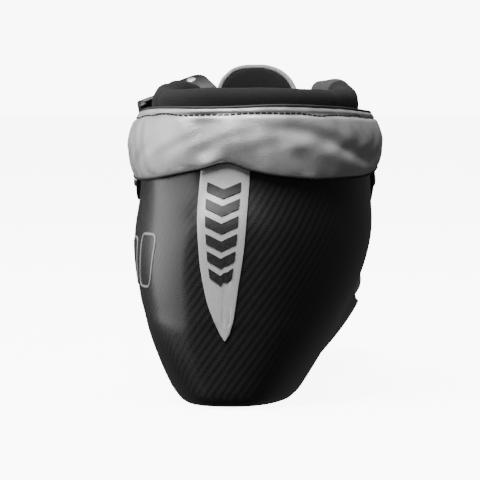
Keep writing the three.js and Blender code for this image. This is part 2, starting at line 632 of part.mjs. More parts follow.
for (const [side, sign] of [["outer", 1], ["inner", -1]]) {
  const top = STRAP_OFF + STRAP_THICK + 0.35;
  const rivet = turned([
    [0, -SHELL_WALL + 0.2], [RIVET_R, -SHELL_WALL + 0.2], [RIVET_R, top], [4.6, top], [4, top + 1.3], [0, top + 1.6],
  ], 14);
  add(side + "_strap_rivet", standing(rivet, strapAnchor(sign), 0), 0xa9acb0, 0.3, 0.9);
}

// The buckle sits over the outer strap: "u" runs down the strap, "s" across it, "n" away from the boot.
const CHEEK_HEIGHT = 15;
const CHEEK = 2;
const BASE_LENGTH = 20;
const BASE_HALF = STRAP_WIDTH / 2 + 0.5;
const BASE_FLOOR = 1.6;
const PIN_R = 2;
const PIN_U = -4;
const PIN_N = 12;
const PIN_CLEAR = 0.08;
const PIN_SIDES = 20;
const LEVER_LENGTH = 24;
const INSTEP_R = 45; // the instep's bend under the buckle
const SEAT_GAP = 0.39 + STRAP_WIDTH ** 2 / (8 * INSTEP_R); // clears the strap's crown under the buckle's base
const seat = strapSkin(BUCKLE_ANGLE, 0, STRAP_OFF + STRAP_THICK + SEAT_GAP);
const seatN = normalAt(seat);
const seatU = strapSkin(BUCKLE_ANGLE + 0.1, 0, 3).sub(strapSkin(BUCKLE_ANGLE - 0.1, 0, 3)).normalize();
const seatS = new THREE.Vector3().crossVectors(seatN, seatU).normalize();
seatU.crossVectors(seatS, seatN);
const buckleFrame = new THREE.Matrix4().makeBasis(seatU, seatS, seatN).setPosition(seat);
const block = (u0, u1, s0, s1, n0, n1) =>
  new THREE.BoxGeometry(u1 - u0, s1 - s0, n1 - n0).translate((u0 + u1) / 2, (s0 + s1) / 2, (n0 + n1) / 2);
/** A rod along the hinge pin's axis. */
const pinRod = (r, half) => new THREE.CylinderGeometry(r, r, 2 * half, PIN_SIDES).translate(PIN_U, 0, PIN_N);
const PIN_HOLE = (PIN_R + PIN_CLEAR) / Math.cos(Math.PI / PIN_SIDES); // its flats clear the pin's corners
const onBuckle = (geometry) => geometry.applyMatrix4(buckleFrame);
const cheekOut = BASE_HALF + CHEEK;
const base = cut(
  union(
    block(-BASE_LENGTH / 2, BASE_LENGTH / 2, -cheekOut, cheekOut, 0, BASE_FLOOR),
    block(-BASE_LENGTH / 2, BASE_LENGTH / 2 - 6, BASE_HALF, cheekOut, 0, CHEEK_HEIGHT),
    block(-BASE_LENGTH / 2, BASE_LENGTH / 2 - 6, -cheekOut, -BASE_HALF, 0, CHEEK_HEIGHT),
  ),
  pinRod(PIN_HOLE, cheekOut + 1),
);
add("buckle_base", onBuckle(base), 0x3a3d42, 0.4, 0.8);
add("lever_pin", onBuckle(pinRod(PIN_R, cheekOut)), 0xa9acb0, 0.3, 0.9);
const leverHalf = BASE_HALF - 0.4;
const lever = cut(
  union(
    pinRod(PIN_R + 2.2, leverHalf),
    block(PIN_U, PIN_U + LEVER_LENGTH, -leverHalf, leverHalf, PIN_N + 0.6, PIN_N + 3.2),
    block(PIN_U + LEVER_LENGTH - 3, PIN_U + LEVER_LENGTH, -leverHalf, leverHalf, PIN_N - 1.5, PIN_N + 2),
  ),
  pinRod(PIN_HOLE, leverHalf + 1),
);
add("buckle_lever", onBuckle(lever), 0xb9bbbd, 0.3, 0.8);

// ---------------------------------------------------------------- sole inserts
const INSERT_R = 7;
const INSERT_FLANGE = 10;
const INSERT_BORE = 2.6;
const INSERT_TOP = 3.95;
const FOREFOOT_REACH = 227;
const mounts = [["forefoot_insert", FOREFOOT_REACH], ["heel_insert", FOREFOOT_REACH - MOUNT_SPACING]];
for (const [name, reach] of mounts) {
  const place = at(0, reach, 0);
  const hole = rod(INSERT_R + 0.35, -5, 6, 24).translate(place.x, place.y, 0);
  shell.geometry = cut(shell.geometry, hole);
  const insert = turned([
    [INSERT_BORE, 0], [INSERT_R, 0], [INSERT_R, SHELL_WALL + 0.35], [INSERT_FLANGE, SHELL_WALL + 0.35],
    [INSERT_FLANGE, INSERT_TOP], [INSERT_BORE, INSERT_TOP],
  ], 24);
  add(name, insert.translate(place.x, place.y, 0), 0x9a9da2, 0.35, 0.9);
}

// The boot stands on z = 0 with the middle of its overall size over the origin.
const size = new THREE.Box3().setFromObject(boot);
const middle = size.getCenter(new THREE.Vector3());
for (const piece of boot.children) piece.geometry.translate(-middle.x, -middle.y, -size.min.z);

export default boot;
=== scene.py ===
"""A carbon-shell racing boot for the left foot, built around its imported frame.

The frame's solids give every piece its place. The pieces that show are made again here at full detail,
on the same outside surface as the solids, and ride on the same bodies.
"""

import logging
import math
from dataclasses import dataclass
from enum import Enum
from typing import Callable, Optional, Sequence, Union

import bpy
import numpy as np
from mathutils import Matrix, Vector


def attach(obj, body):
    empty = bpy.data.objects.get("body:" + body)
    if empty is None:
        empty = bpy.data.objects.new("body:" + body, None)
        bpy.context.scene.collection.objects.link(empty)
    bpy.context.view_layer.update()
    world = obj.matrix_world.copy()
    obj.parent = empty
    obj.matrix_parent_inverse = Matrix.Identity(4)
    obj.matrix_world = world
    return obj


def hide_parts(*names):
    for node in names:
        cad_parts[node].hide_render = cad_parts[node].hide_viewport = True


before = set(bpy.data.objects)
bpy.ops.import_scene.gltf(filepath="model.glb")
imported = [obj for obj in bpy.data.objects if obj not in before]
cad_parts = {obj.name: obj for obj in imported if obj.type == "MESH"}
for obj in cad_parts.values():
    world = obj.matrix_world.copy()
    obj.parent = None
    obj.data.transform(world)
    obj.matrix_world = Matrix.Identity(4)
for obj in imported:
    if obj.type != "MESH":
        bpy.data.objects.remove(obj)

LOG = logging.getLogger("boot")
Array = np.ndarray
Curve = Callable[[Array], Array]
Value = Union[float, Curve]
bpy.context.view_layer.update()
MM = 0.001


# ---------------------------------------------------------------- curves
def smoothstep(low: float, high: float, value: Array) -> Array:
    """Goes smoothly from 0 at low to 1 at high."""
    k = np.clip((np.asarray(value, float) - low) / (high - low), 0.0, 1.0)
    return k * k * (3.0 - 2.0 * k)


def mix(a: Array, b: Array, k: Array) -> Array:
    """A straight blend from a to b."""
    return a + (b - a) * k


def bump(centre: float, width: float, value: Array) -> Array:
    """A bell of height 1 round a centre."""
    return np.exp(-(((np.asarray(value, float) - centre) / width) ** 2))


def through(*pairs: tuple[float, float]) -> Curve:
    """A smooth curve through [station, value] pairs, level beyond both ends.

    Args:
        pairs: the stations in rising order, each with its value.

    Returns:
        A function of an array of stations.
    """
    s, v = (np.array(column, float) for column in zip(*pairs))
    step = np.diff(v) / np.diff(s)
    slope = np.zeros_like(v)
    product = step[:-1] * step[1:]
    total = step[:-1] + step[1:]
    slope[1:-1] = np.where(product > 0, 2 * product / np.where(total == 0, 1, total), 0)

    def curve(at: Array) -> Array:
        """The curve's value at each station."""
        at = np.clip(np.asarray(at, float), s[0], s[-1])
        i = np.clip(np.searchsorted(s, at, side="right"), 1, len(s) - 1)
        h = s[i] - s[i - 1]
        k = (at - s[i - 1]) / h
        rise = slope[i - 1] * h * k * (1 - k) ** 2 - slope[i] * h * k * k * (1 - k)
        return mix(v[i - 1], v[i], k * k * (3 - 2 * k)) + rise

    return curve


def super_norm(a: Array, b: Array, n: float) -> Array:
    """The n-norm of two numbers."""
    return (np.abs(a) ** n + np.abs(b) ** n) ** (1.0 / n)


def soft_max(a: Array, b: Array, r: Array) -> Array:
    """The larger of two numbers, rounded off where they are closer than r."""
    h = np.maximum(r - np.abs(a - b), 0.0) / r
    return np.maximum(a, b) + h * h * r / 4.0


def round_off(share: Array, n: float) -> Array:
    """Goes from 1 to 0 as a share goes from 0 to 1, along a rounded corner; a larger n is squarer."""
    return (1 - share ** n) ** (1 / n)


def tapered(share: Array, n: float) -> Array:
    """1 along a share of 0 to 1, down to 0 at both ends; a larger n makes the ends shorter."""
    return np.sqrt(np.clip(1 - np.abs(2 * share - 1) ** n, 0, 1))


def power(value: Array, n: float) -> Array:
    """A power of a number's size, with the number's sign."""
    return np.sign(value) * np.abs(value) ** n


def run_along(path: Array) -> Array:
    """How far along a path each of its points is."""
    return np.concatenate([[0.0], np.cumsum(np.linalg.norm(np.diff(path, axis=0), axis=1))])


def mean_run(points: Array, axis: int) -> Array:
    """How far along a grid of points each row (axis 0) or column (axis 1) is, on average."""
    steps = np.linalg.norm(np.diff(points, axis=axis), axis=2).mean(1 - axis)
    return np.concatenate([[0.0], np.cumsum(steps)])


def points_at(path: Array, at: Array) -> Array:
    """Points on a path at distances along it."""
    run = run_along(path)
    return np.stack([np.interp(at, run, path[:, k]) for k in range(3)], -1)


# ---------------------------------------------------------------- the boot's outside surface
class Outside:
    """The surface that every layer of the boot is laid on, in millimetres.

    Places are x (outer side positive), reach (from the heel towards the toe) and z (up).
    """

    length = 282.0
    heel_y = 141.0
    shift_x = 3.7416191
    shift_y = -1.0500030
    shift_z = 1.0
    fan_reach = 150.0
    fan_height = 80.0
    top_height = 130.0
    centre_reach = 66.0
    ray_length = 190.0
    # reaches where the heel and the toe begin to close, and how squarely each part is rounded
    heel_from = 70.0
    toe_from = 214.0
    heel_square = 2.8
    toe_square = 2.7
    toe_top_square = 3
    foot_square = 2.15
    ankle_square = 2.25
    # the foot is widest at this share of its height, and its sides slope in below it
    widest = 0.55
    flare_power = 1.4
    side_slope = 0.8
    # the ankle's middle, and from there to its front
    ankle_middle = 64.0
    ankle_ahead = 47.0
    # how widely edges are blended: under the sole, under the ankle, behind the heel
    sole_blend = 3.0
    ankle_blend = 2.5
    heel_blend = 5.0
    foot_outer = staticmethod(through((0, 34), (60, 35.5), (120, 37), (185, 50), (230, 46), (282, 40)))
    foot_inner = staticmethod(through((0, 36), (60, 42), (120, 41), (195, 45.5), (240, 42), (282, 36)))
    sole_share = staticmethod(through((40, 0.55), (110, 0.5), (190, 0.52), (282, 0.58)))
    foot_top = staticmethod(
        through((0, 55), (60, 74), (96, 92), (120, 89), (150, 77), (185, 64), (225, 53), (282, 46)))
    sole_rise = staticmethod(through((75, 0), (118, 5), (160, 0), (236, 0), (282, 15)))
    ankle_outer = staticmethod(through(
        (0, 22.5), (4, 25), (14, 29.5), (28, 34), (40, 35.5), (65, 35), (97, 37.5), (112, 34.5), (130, 33.5)))
    ankle_inner = staticmethod(through(
        (0, 21), (4, 23.5), (14, 30), (28, 39), (40, 44.5), (65, 49), (97, 51.5), (112, 48.5), (130, 47.5)))
    heel_back = staticmethod(through(
        (0, 10), (5, 6), (20, 1.5), (38, 0), (62, 2), (86, 5.5), (104, 5), (130, 2)))
    ring_x = staticmethod(through((0, 2), (0.6, 3), (1.2, -2), (2, -4.5), (3, -5.5)))
    throat = staticmethod(through((0.6, 9), (1, 15), (2, 19), (3, 23)))

    def by_side(self, x: Array, inner: Array, outer: Array) -> Array:
        """Blends from the inner side's value to the outer side's across the middle."""
        return mix(inner, outer, smoothstep(-12, 12, x))

    def value(self, p: Array) -> Array:
        """Below zero inside the boot and above zero outside it.

        Args:
            p: points, three numbers each.

        Returns:
            One number for each point, near its distance from the surface in millimetres.
        """
        x, reach, z = p[..., 0], self.heel_y - p[..., 1], p[..., 2]
        heel = np.clip((self.heel_from - reach) / self.heel_from, 0, 0.99999)
        toe = np.clip((reach - self.toe_from) / (self.length - self.toe_from), 0, 0.9999)
        closing = round_off(heel, self.heel_square) * round_off(toe, self.toe_square)
        wide = self.by_side(x, self.foot_inner(reach), self.foot_outer(reach))
        half = wide * closing
        low = self.sole_rise(reach)
        mid = mix(low, self.foot_top(reach), self.widest)
        top = mid + (self.foot_top(reach) - mid) * round_off(toe, self.toe_top_square)
        above = super_norm(x / half, (z - mid) / (top - mid), self.foot_square) - 1
        upper = above * np.minimum(wide, top - mid)
        flare = 1 - (1 - np.clip((z - low) / (mid - low), 0, 1)) ** self.flare_power
        beside = (np.abs(x) - half * mix(self.sole_share(reach), 1.0, flare)) * self.side_slope
        lower = soft_max(beside, low - z, self.sole_blend)
        foot = np.where(z > mid, upper, lower)
        side = self.by_side(x, self.ankle_inner(z), self.ankle_outer(z))
        ahead = reach - self.ankle_middle
        along = np.where(ahead < 0, ahead / (self.ankle_middle - self.heel_back(z)), ahead / self.ankle_ahead)
        ankle = soft_max((super_norm(x / side, along, self.ankle_square) - 1) * side, -z, self.ankle_blend)
        body = -soft_max(-foot, -ankle, 26 * smoothstep(30, 70, z) + 4)
        return np.maximum(soft_max(body, -reach, self.heel_blend), reach - self.length)

    def meet(self, start: Array, way: Array) -> Array:
        """Where rays from inside meet the surface.

        Args:
            start: the rays' first points.
            way: their directions.

        Returns:
            One point on the surface for each ray.
        """
        near = np.zeros(start.shape[:-1])
        far = np.full(start.shape[:-1], self.ray_length)
        for _ in range(30):
            half = (near + far) / 2
            inside = self.value(start + way * half[..., None]) < 0
            near = np.where(inside, half, near)
            far = np.where(inside, far, half)
        return start + way * near[..., None]

    def normal(self, p: Array) -> Array:
        """The outward normals at points on the surface.

        Args:
            p: points on the surface or near it.

        Returns:
            One unit vector for each point.
        """
        out = np.zeros_like(p)
        for k in range(3):
            step = np.zeros(3)
            step[k] = 0.4
            out[..., k] = self.value(p + step) - self.value(p - step)
        return out / np.linalg.norm(out, axis=-1, keepdims=True)

    def off(self, p: Array, distance: Value) -> Array:
        """Points moved off the surface along its normals."""
        return p + self.normal(p) * np.asarray(distance, float)[..., None]

    def ring(self, t: Array) -> tuple[Array, Array, Array, Array]:
        """Centre (reach, z) and backward direction (reach, z) of ring t.

        Ring 0 is at the toe tip, 1 at the instep, 2 level with the top of the foot and 3 at the top.
        """
        turn = (np.clip(t, 1, 2) - 1) * math.pi / 2
        away = mix(44.0, self.fan_reach - self.centre_reach, np.clip(t, 1, 2) - 1)
        e_reach, e_z = -np.sin(turn), -np.cos(turn)
        reach = self.fan_reach + e_reach * away
        z = self.fan_height + e_z * away
        reach = np.where(t < 1, mix(self.length, self.fan_reach, t), reach)
        z = np.where(t < 1, mix(22.0, self.fan_height - 44, t), z)
        z = np.where(t > 2, mix(self.fan_height, self.top_height, t - 2), z)
        return reach, z, e_reach, e_z

    def skin(self, t: Array, v: Array, distance: Value = 0.0) -> Array:
        """Points on ring t at angle v from its front or top, and off the surface.

        Args:
            t: the ring, 0 to 3.
            v: the angle in radians, above zero on the outer side.
            distance: how far off the surface the points lie.

        Returns:
            The points in millimetres.
        """
        t, v = np.broadcast_arrays(np.asarray(t, float), np.asarray(v, float))
        reach, z, e_reach, e_z = self.ring(t)
        start = np.stack([self.ring_x(t), self.heel_y - reach, z], -1)
        way = np.stack([np.sin(v), e_reach * np.cos(v), -e_z * np.cos(v)], -1)
        return self.off(self.meet(start, way), distance)

    def ring_at_height(self, z: Array) -> Array:
        """The ring that lies level at height z."""
        return 2 + (np.asarray(z, float) - self.fan_height) / (self.top_height - self.fan_height)

    def side_angle(self, t: Array, half: Array) -> Array:
        """The angle on ring t of a point "half" millimetres beside its front.

        Args:
            t: the ring.
            half: the distance beside the front.

        Returns:
            The angle in radians.
        """
        t = np.asarray(t, float)
        reach, z, _, _ = self.ring(t)
        front = self.skin(t, np.zeros_like(t))
        return np.arctan(half / np.hypot(front[..., 2] - z, self.heel_y - front[..., 1] - reach))

    def throat_angle(self, t: Array, beyond: float = 0.0) -> Array:
        """The angle of the throat's edge on ring t, or of a line beyond it."""
        return self.side_angle(t, self.throat(t) + beyond)

    def on_skin(self, p: Array, distance: Value) -> Array:
        """Points brought to the surface along its normals, and off it."""
        normal = self.normal(p)
        return self.off(self.meet(p - normal * 15, normal), distance)

    def world(self, p: Array) -> Array:
        """Points in the frame's own metres."""
        return (p + np.array([self.shift_x, self.shift_y, self.shift_z])) * MM


SKIN = Outside()


# ---------------------------------------------------------------- bench tools
def deselect() -> None:
    """Leaves nothing selected."""
    bpy.ops.object.select_all(action="DESELECT")


def hold(piece: bpy.types.Object) -> None:
    """Makes a piece the only selected and active one."""
    deselect()
    piece.select_set(True)
    bpy.context.view_layer.objects.active = piece


def added(name: str) -> bpy.types.Object:
    """Names the primitive that was just added."""
    piece = bpy.context.object
    piece.name = name
    piece.data.name = name
    return piece


def modify(piece: bpy.types.Object, kind: str, **settings: object) -> None:
    """Gives a piece a modifier and applies it.

    Args:
        piece: the piece to change.
        kind: the modifier's type.
        settings: its settings, by name.
    """
    hold(piece)
    modifier = piece.modifiers.new(kind.lower(), kind)
    for key, setting in settings.items():
        setattr(modifier, key, setting)
    bpy.ops.object.modifier_apply(modifier=modifier.name)


def edit(piece: bpy.types.Object, *steps: Callable[[], object]) -> None:
    """Runs edit-mode steps on the whole of a piece.

    Args:
        piece: the piece to edit, all of it selected at the start.
        steps: functions that call the edit-mode operators.
    """
    hold(piece)
    bpy.ops.object.mode_set(mode="EDIT")
    bpy.ops.mesh.select_all(action="SELECT")
    for step in steps:
        step()
    bpy.ops.object.mode_set(mode="OBJECT")


def smooth(piece: bpy.types.Object, angle: float = 40.0) -> None:
    """Shades a piece smooth except across edges sharper than an angle in degrees."""
    hold(piece)
    bpy.ops.object.shade_smooth_by_angle(angle=math.radians(angle))


def settle(piece: bpy.types.Object) -> None:
    """Puts a piece's place into its mesh, so its object sits at the origin."""
    hold(piece)
    bpy.ops.object.transform_apply(location=True, rotation=True, scale=True)


def bevel(piece: bpy.types.Object, width: float, segments: int, angle: float = 50.0) -> None:
    """Rounds edges sharper than an angle in degrees, over a width in millimetres."""
    modify(piece, "BEVEL", width=width * MM, segments=segments, limit_method="ANGLE",
           angle_limit=math.radians(angle))


def cube(name: str, size: Sequence[float], middle: Sequence[float] = (0.0, 0.0, 0.0)) -> bpy.types.Object:
    """A box by its size and its middle, in millimetres.

    Args:
        name: the box's name.
        size: its three sizes.
        middle: the place of its middle.

    Returns:
        The box.
    """
    deselect()
    bpy.ops.mesh.primitive_cube_add(size=1)
    box = added(name)
    box.data.transform(Matrix.Translation([m * MM for m in middle])
                       @ Matrix.Diagonal((*[w * MM for w in size], 1)))
    return box


def grid_piece(name: str, points: Array, closed: bool = False) -> bpy.types.Object:
    """A grid primitive with its points moved to their places and a UV map in metres along it.

    Args:
        name: the piece's name.
        points: rows by columns of points in metres.
        closed: whether the last column meets the first.

    Returns:
        The piece, one layer thick.
    """
    rows, columns = points.shape[0] - 1, points.shape[1] - 1
    deselect()
    bpy.ops.mesh.primitive_grid_add(x_subdivisions=columns, y_subdivisions=rows, size=1, calc_uvs=True)
    piece = added(name)
    flat = points.reshape(-1, 3)
    piece.data.vertices.foreach_set("co", flat.ravel())
    u, v = mean_run(points, 1), mean_run(points, 0)
    index = np.empty(len(piece.data.loops), int)
    piece.data.loops.foreach_get("vertex_index", index)
    uv = np.stack([u[index % (columns + 1)], v[index // (columns + 1)]], -1)
    piece.data.uv_layers.active.data.foreach_set("uv", uv.ravel())
    piece.data.update()
    if closed:
        edit(piece, lambda: bpy.ops.mesh.remove_doubles(threshold=0.00002))
    return piece


def face_out(piece: bpy.types.Object) -> None:
    """Turns a layer's faces away from the boot's inside."""
    hollow = Vector(SKIN.world(np.array([-4.0, 20.0, 45.0])))
    total = sum((f.center - hollow).dot(f.normal) * f.area for f in piece.data.polygons)
    if total < 0:
        edit(piece, bpy.ops.mesh.flip_normals)


def wall(piece: bpy.types.Object, thickness: float, round_edge: float = 0.0) -> None:
    """Gives a layer its wall, inwards, and rounds the wall's edges.

    Args:
        piece: a layer one face thick.
        thickness: the wall in millimetres.
        round_edge: the width of the rounding in millimetres, or 0 for none.
    """
    face_out(piece)
    modify(piece, "SOLIDIFY", thickness=thickness * MM, offset=-1.0, use_even_offset=False)
    if round_edge:
        bevel(piece, round_edge, 3)
    smooth(piece, 50)


def scatter(name: str, seed: bpy.types.Object, places: Sequence[Matrix]) -> bpy.types.Object:
    """One piece that holds a copy of a small shape at each place; the first shape is used up.

    Args:
        name: the new piece's name.
        seed: the small shape, at the origin.
        places: a matrix for each copy.

    Returns:
        The joined copies.
    """
    local = np.array([tuple(v.co) for v in seed.data.vertices])
    faces = [tuple(f.vertices) for f in seed.data.polygons]
    points = []
    all_faces = []
    for count, place in enumerate(places):
        m = np.array(place)
        points.append(local @ m[:3, :3].T + m[:3, 3])
        all_faces += [tuple(i + count * len(local) for i in face) for face in faces]
    mesh = bpy.data.meshes.new(name)
    mesh.from_pydata(np.concatenate(points).tolist(), [], all_faces)
    bpy.data.objects.remove(seed)
    piece = bpy.data.objects.new(name, mesh)
    bpy.context.collection.objects.link(piece)
    smooth(piece, 50)
    return piece


def frame_at(place: Array, normal: Array, along: Array) -> Matrix:
    """A matrix at a place in metres whose Z is the normal and whose X runs along.

    Args:
        place: the matrix's origin.
        normal: the direction of its Z.
        along: a direction that its X leans towards.

    Returns:
        The matrix, without scale.
    """
    z = Vector(normal).normalized()
    x = Vector(along) - z * Vector(along).dot(z)
    x.normalize()
    y = z.cross(x)
    return Matrix.Translation(Vector(place)) @ Matrix((x, y, z)).transposed().to_4x4()


def tube_mesh(name: str, path: Array, radius: Value, sides: int, closed: bool = False,
              flat: float = 1.0, up: Optional[Array] = None) -> bpy.types.Object:
    """A round or flattened tube along a path, with a UV map in metres and its open ends filled flat.

    Args:
        name: the piece's name.
        path: the points it follows, in metres.
        radius: its radius in metres, or one for each point.
        sides: how many sides it has.
        closed: whether it joins up.
        flat: its thickness along "up" over its width.
        up: the direction of its thin side at each point.

    Returns:
        The piece.
    """
    count = len(path)
    radius = np.broadcast_to(np.asarray(radius, float), (count,)).copy()
    tangent = np.gradient(path, axis=0)
    if closed:
        tangent = np.roll(path, -1, 0) - np.roll(path, 1, 0)
    tangent /= np.linalg.norm(tangent, axis=1, keepdims=True)
    if up is None:
        normals = np.zeros_like(path)
        first = np.cross(tangent[0], [0.31, 0.17, 0.93])
        normals[0] = first / np.linalg.norm(first)
        for i in range(1, count):
            n = normals[i - 1] - tangent[i] * normals[i - 1].dot(tangent[i])
            normals[i] = n / np.linalg.norm(n)
    else:
        normals = up - tangent * (up * tangent).sum(1, keepdims=True)
        normals /= np.linalg.norm(normals, axis=1, keepdims=True)
    side = np.cross(tangent, normals)
    angle = np.linspace(0, 2 * math.pi, sides + 1)
    ring = (normals[:, None] * (np.cos(angle) * flat)[None, :, None]
            + side[:, None] * np.sin(angle)[None, :, None])
    points = path[:, None] + ring * radius[:, None, None]
    if closed:
        points = np.concatenate([points, points[:1]])
    piece = grid_piece(name, points, closed=True)
    if not closed:
        def cap() -> None:
            """Closes the two open ends."""
            bpy.ops.mesh.select_all(action="DESELECT")
            bpy.ops.mesh.select_non_manifold()
            bpy.ops.mesh.fill_holes(sides=0)
        edit(piece, cap)
    edit(piece, lambda: bpy.ops.mesh.normals_make_consistent(inside=False))
    smooth(piece, 60)
    return piece


# ---------------------------------------------------------------- finishes
class Graph:
    """Builds one node tree, shader or group."""

    def __init__(self, tree: bpy.types.NodeTree) -> None:
        """Keeps the tree."""
        self.tree = tree

    def node(self, kind: str, inputs: Optional[dict] = None, **settings: object) -> bpy.types.Node:
        """Adds a node.

        Args:
            kind: its Blender type.
            inputs: values or sockets, by the input's name or number.
            settings: its properties.

        Returns:
            The node.
        """
        made = self.tree.nodes.new(kind)
        for key, setting in settings.items():
            setattr(made, key, setting)
        for key, value in (inputs or {}).items():
            if isinstance(value, bpy.types.NodeSocket):
                self.tree.links.new(value, made.inputs[key])
            else:
                made.inputs[key].default_value = value
        return made

    def maths(self, operation: str, a: object, b: object = 0.0, c: object = 0.0) -> bpy.types.NodeSocket:
        """A maths node's result from up to three numbers or sockets."""
        return self.node("ShaderNodeMath", {0: a, 1: b, 2: c}, operation=operation).outputs[0]

    def ramp(self, value: object, low: float, high: float) -> bpy.types.NodeSocket:
        """A value carried smoothly from low..high to 0..1."""
        made = self.node("ShaderNodeMapRange", {"Value": value, "From Min": low, "From Max": high},
                         interpolation_type="SMOOTHSTEP")
        return made.outputs["Result"]

    def blend(self, amount: object, a: object, b: object) -> bpy.types.NodeSocket:
        """A colour between two colours."""
        made = self.node("ShaderNodeMix", {0: amount, 6: a, 7: b}, data_type="RGBA")
        return made.outputs[2]


def grey(value: float, warm: float = 0.0) -> tuple[float, float, float, float]:
    """A grey, a little warm or cold."""
    return (value * (1 + warm), value, value * (1 - warm), 1.0)


def new_group(name: str, inputs: dict[str, float],
              outputs: Sequence[str]) -> tuple[bpy.types.NodeTree, Graph, dict]:
    """Starts a shader node group with number inputs and number outputs.

    Args:
        name: the group's name.
        inputs: each input's first value.
        outputs: the outputs' names.

    Returns:
        The group, its graph and its input sockets by name.
    """
    tree = bpy.data.node_groups.new(name, "ShaderNodeTree")
    tree.interface.new_socket(name="Vector", in_out="INPUT", socket_type="NodeSocketVector")
    for key, value in inputs.items():
        socket = tree.interface.new_socket(name=key, in_out="INPUT", socket_type="NodeSocketFloat")
        socket.default_value = value
    for key in outputs:
        tree.interface.new_socket(name=key, in_out="OUTPUT", socket_type="NodeSocketFloat")
    graph = Graph(tree)
    source = graph.node("NodeGroupInput")
    return tree, graph, {socket.name: socket for socket in source.outputs if socket.name}


class Groups:
    """The effects that more than one finish uses."""

    def __init__(self) -> None:
        """Builds each group once."""
        self.twill = self.make_twill()
        self.grain = self.make_grain()
        self.dust = self.make_dust()
        self.mesh = self.make_mesh()

    def make_twill(self) -> bpy.types.NodeTree:
        """Two-and-two twill: which tow is on top, and how high the cloth stands."""
        tree, g, given = new_group("twill", {"Tow": 0.0015}, ("Over", "Height"))
        apart = g.node("ShaderNodeSeparateXYZ", {0: given["Vector"]})
        u = g.maths("DIVIDE", apart.outputs[0], given["Tow"])
        v = g.maths("DIVIDE", apart.outputs[1], given["Tow"])
        step = g.maths("ADD", g.maths("FLOOR", u), g.maths("FLOOR", v))
        positive = g.maths("ADD", step, 4000.0)
        over = g.maths("LESS_THAN", g.maths("MODULO", positive, 4.0), 1.5)
        across = [g.maths("ABSOLUTE", g.maths("SUBTRACT", g.maths("FRACT", w), 0.5)) for w in (u, v)]
        tops = [g.maths("SUBTRACT", 1.0, g.maths("MULTIPLY", g.maths("MULTIPLY", a, a), 3.2)) for a in across]
        height = g.maths("ADD", g.maths("MULTIPLY", over, tops[0]),
                         g.maths("MULTIPLY", g.maths("SUBTRACT", 1.0, over), tops[1]))
        g.node("NodeGroupOutput", {"Over": over, "Height": height})
        return tree

    def make_grain(self) -> bpy.types.NodeTree:
        """Leather grain: pebbles with creases between them, and a slow change of shade."""
        tree, g, given = new_group("leather_grain", {"Pebble": 0.0007, "Cloud": 0.012}, ("Height", "Shade"))
        pebble = g.maths("DIVIDE", 1.0, given["Pebble"])
        cell = g.node("ShaderNodeTexVoronoi", {"Vector": given["Vector"], "Scale": pebble},
                      feature="DISTANCE_TO_EDGE")
        fine = g.node("ShaderNodeTexNoise", {"Vector": given["Vector"], "Detail": 3.0,
                                             "Scale": g.maths("MULTIPLY", pebble, 1.7)})
        cloud = g.node("ShaderNodeTexNoise", {"Vector": given["Vector"], "Detail": 4.0,
                                              "Scale": g.maths("DIVIDE", 1.0, given["Cloud"])})
        crease = g.ramp(cell.outputs["Distance"], 0.0, 0.22)
        height = g.maths("ADD", g.maths("MULTIPLY", crease, 0.7), g.maths("MULTIPLY", fine.outputs[0], 0.5))
        g.node("NodeGroupOutput", {"Height": height, "Shade": g.ramp(cloud.outputs[0], 0.3, 0.7)})
        return tree

    def make_dust(self) -> bpy.types.NodeTree:
        """Fine dust and hairline scuffs: a mask."""
        tree, g, given = new_group("dust", {"Size": 0.004}, ("Mask",))
        scale = g.maths("DIVIDE", 1.0, given["Size"])
        noise = g.node("ShaderNodeTexNoise", {"Vector": given["Vector"], "Scale": scale, "Detail": 8.0,
                                              "Roughness": 0.7})
        g.node("NodeGroupOutput", {"Mask": g.ramp(noise.outputs[0], 0.5, 0.85)})
        return tree

    def make_mesh(self) -> bpy.types.NodeTree:
        """A knitted mesh of small round cells: how high it stands."""
        tree, g, given = new_group("knit", {"Cell": 0.0012}, ("Height",))
        apart = g.node("ShaderNodeSeparateXYZ", {0: given["Vector"]})
        turn = [g.maths("MULTIPLY", g.maths("DIVIDE", apart.outputs[k], given["Cell"]), 2 * math.pi)
                for k in (0, 1)]
        both = [g.maths("ADD", turn[0], turn[1]), g.maths("SUBTRACT", turn[0], turn[1])]
        waves = [g.maths("SINE", g.maths("MULTIPLY", w, 0.5)) for w in both]
        g.node("NodeGroupOutput", {"Height": g.maths("MULTIPLY", waves[0], waves[1])})
        return tree


GROUPS = Groups()
TWILL_TURN = math.radians(8)
DUST_SHARE = 0.10
ROUGH_SPREAD = 0.08
COAT_ROUGHNESS = 0.22
SHEEN_ROUGHNESS = 0.4


class Where(Enum):
    """What a finish's pattern follows."""

    OBJECT = "Object"
    SURFACE = "UV"


class Effect(Enum):
    """The pattern a finish is given."""

    TWILL = "twill"
    LEATHER = "leather"
    KNIT = "knit"
    PLASTIC = "plastic"
    METAL = "metal"
    FOAM = "foam"


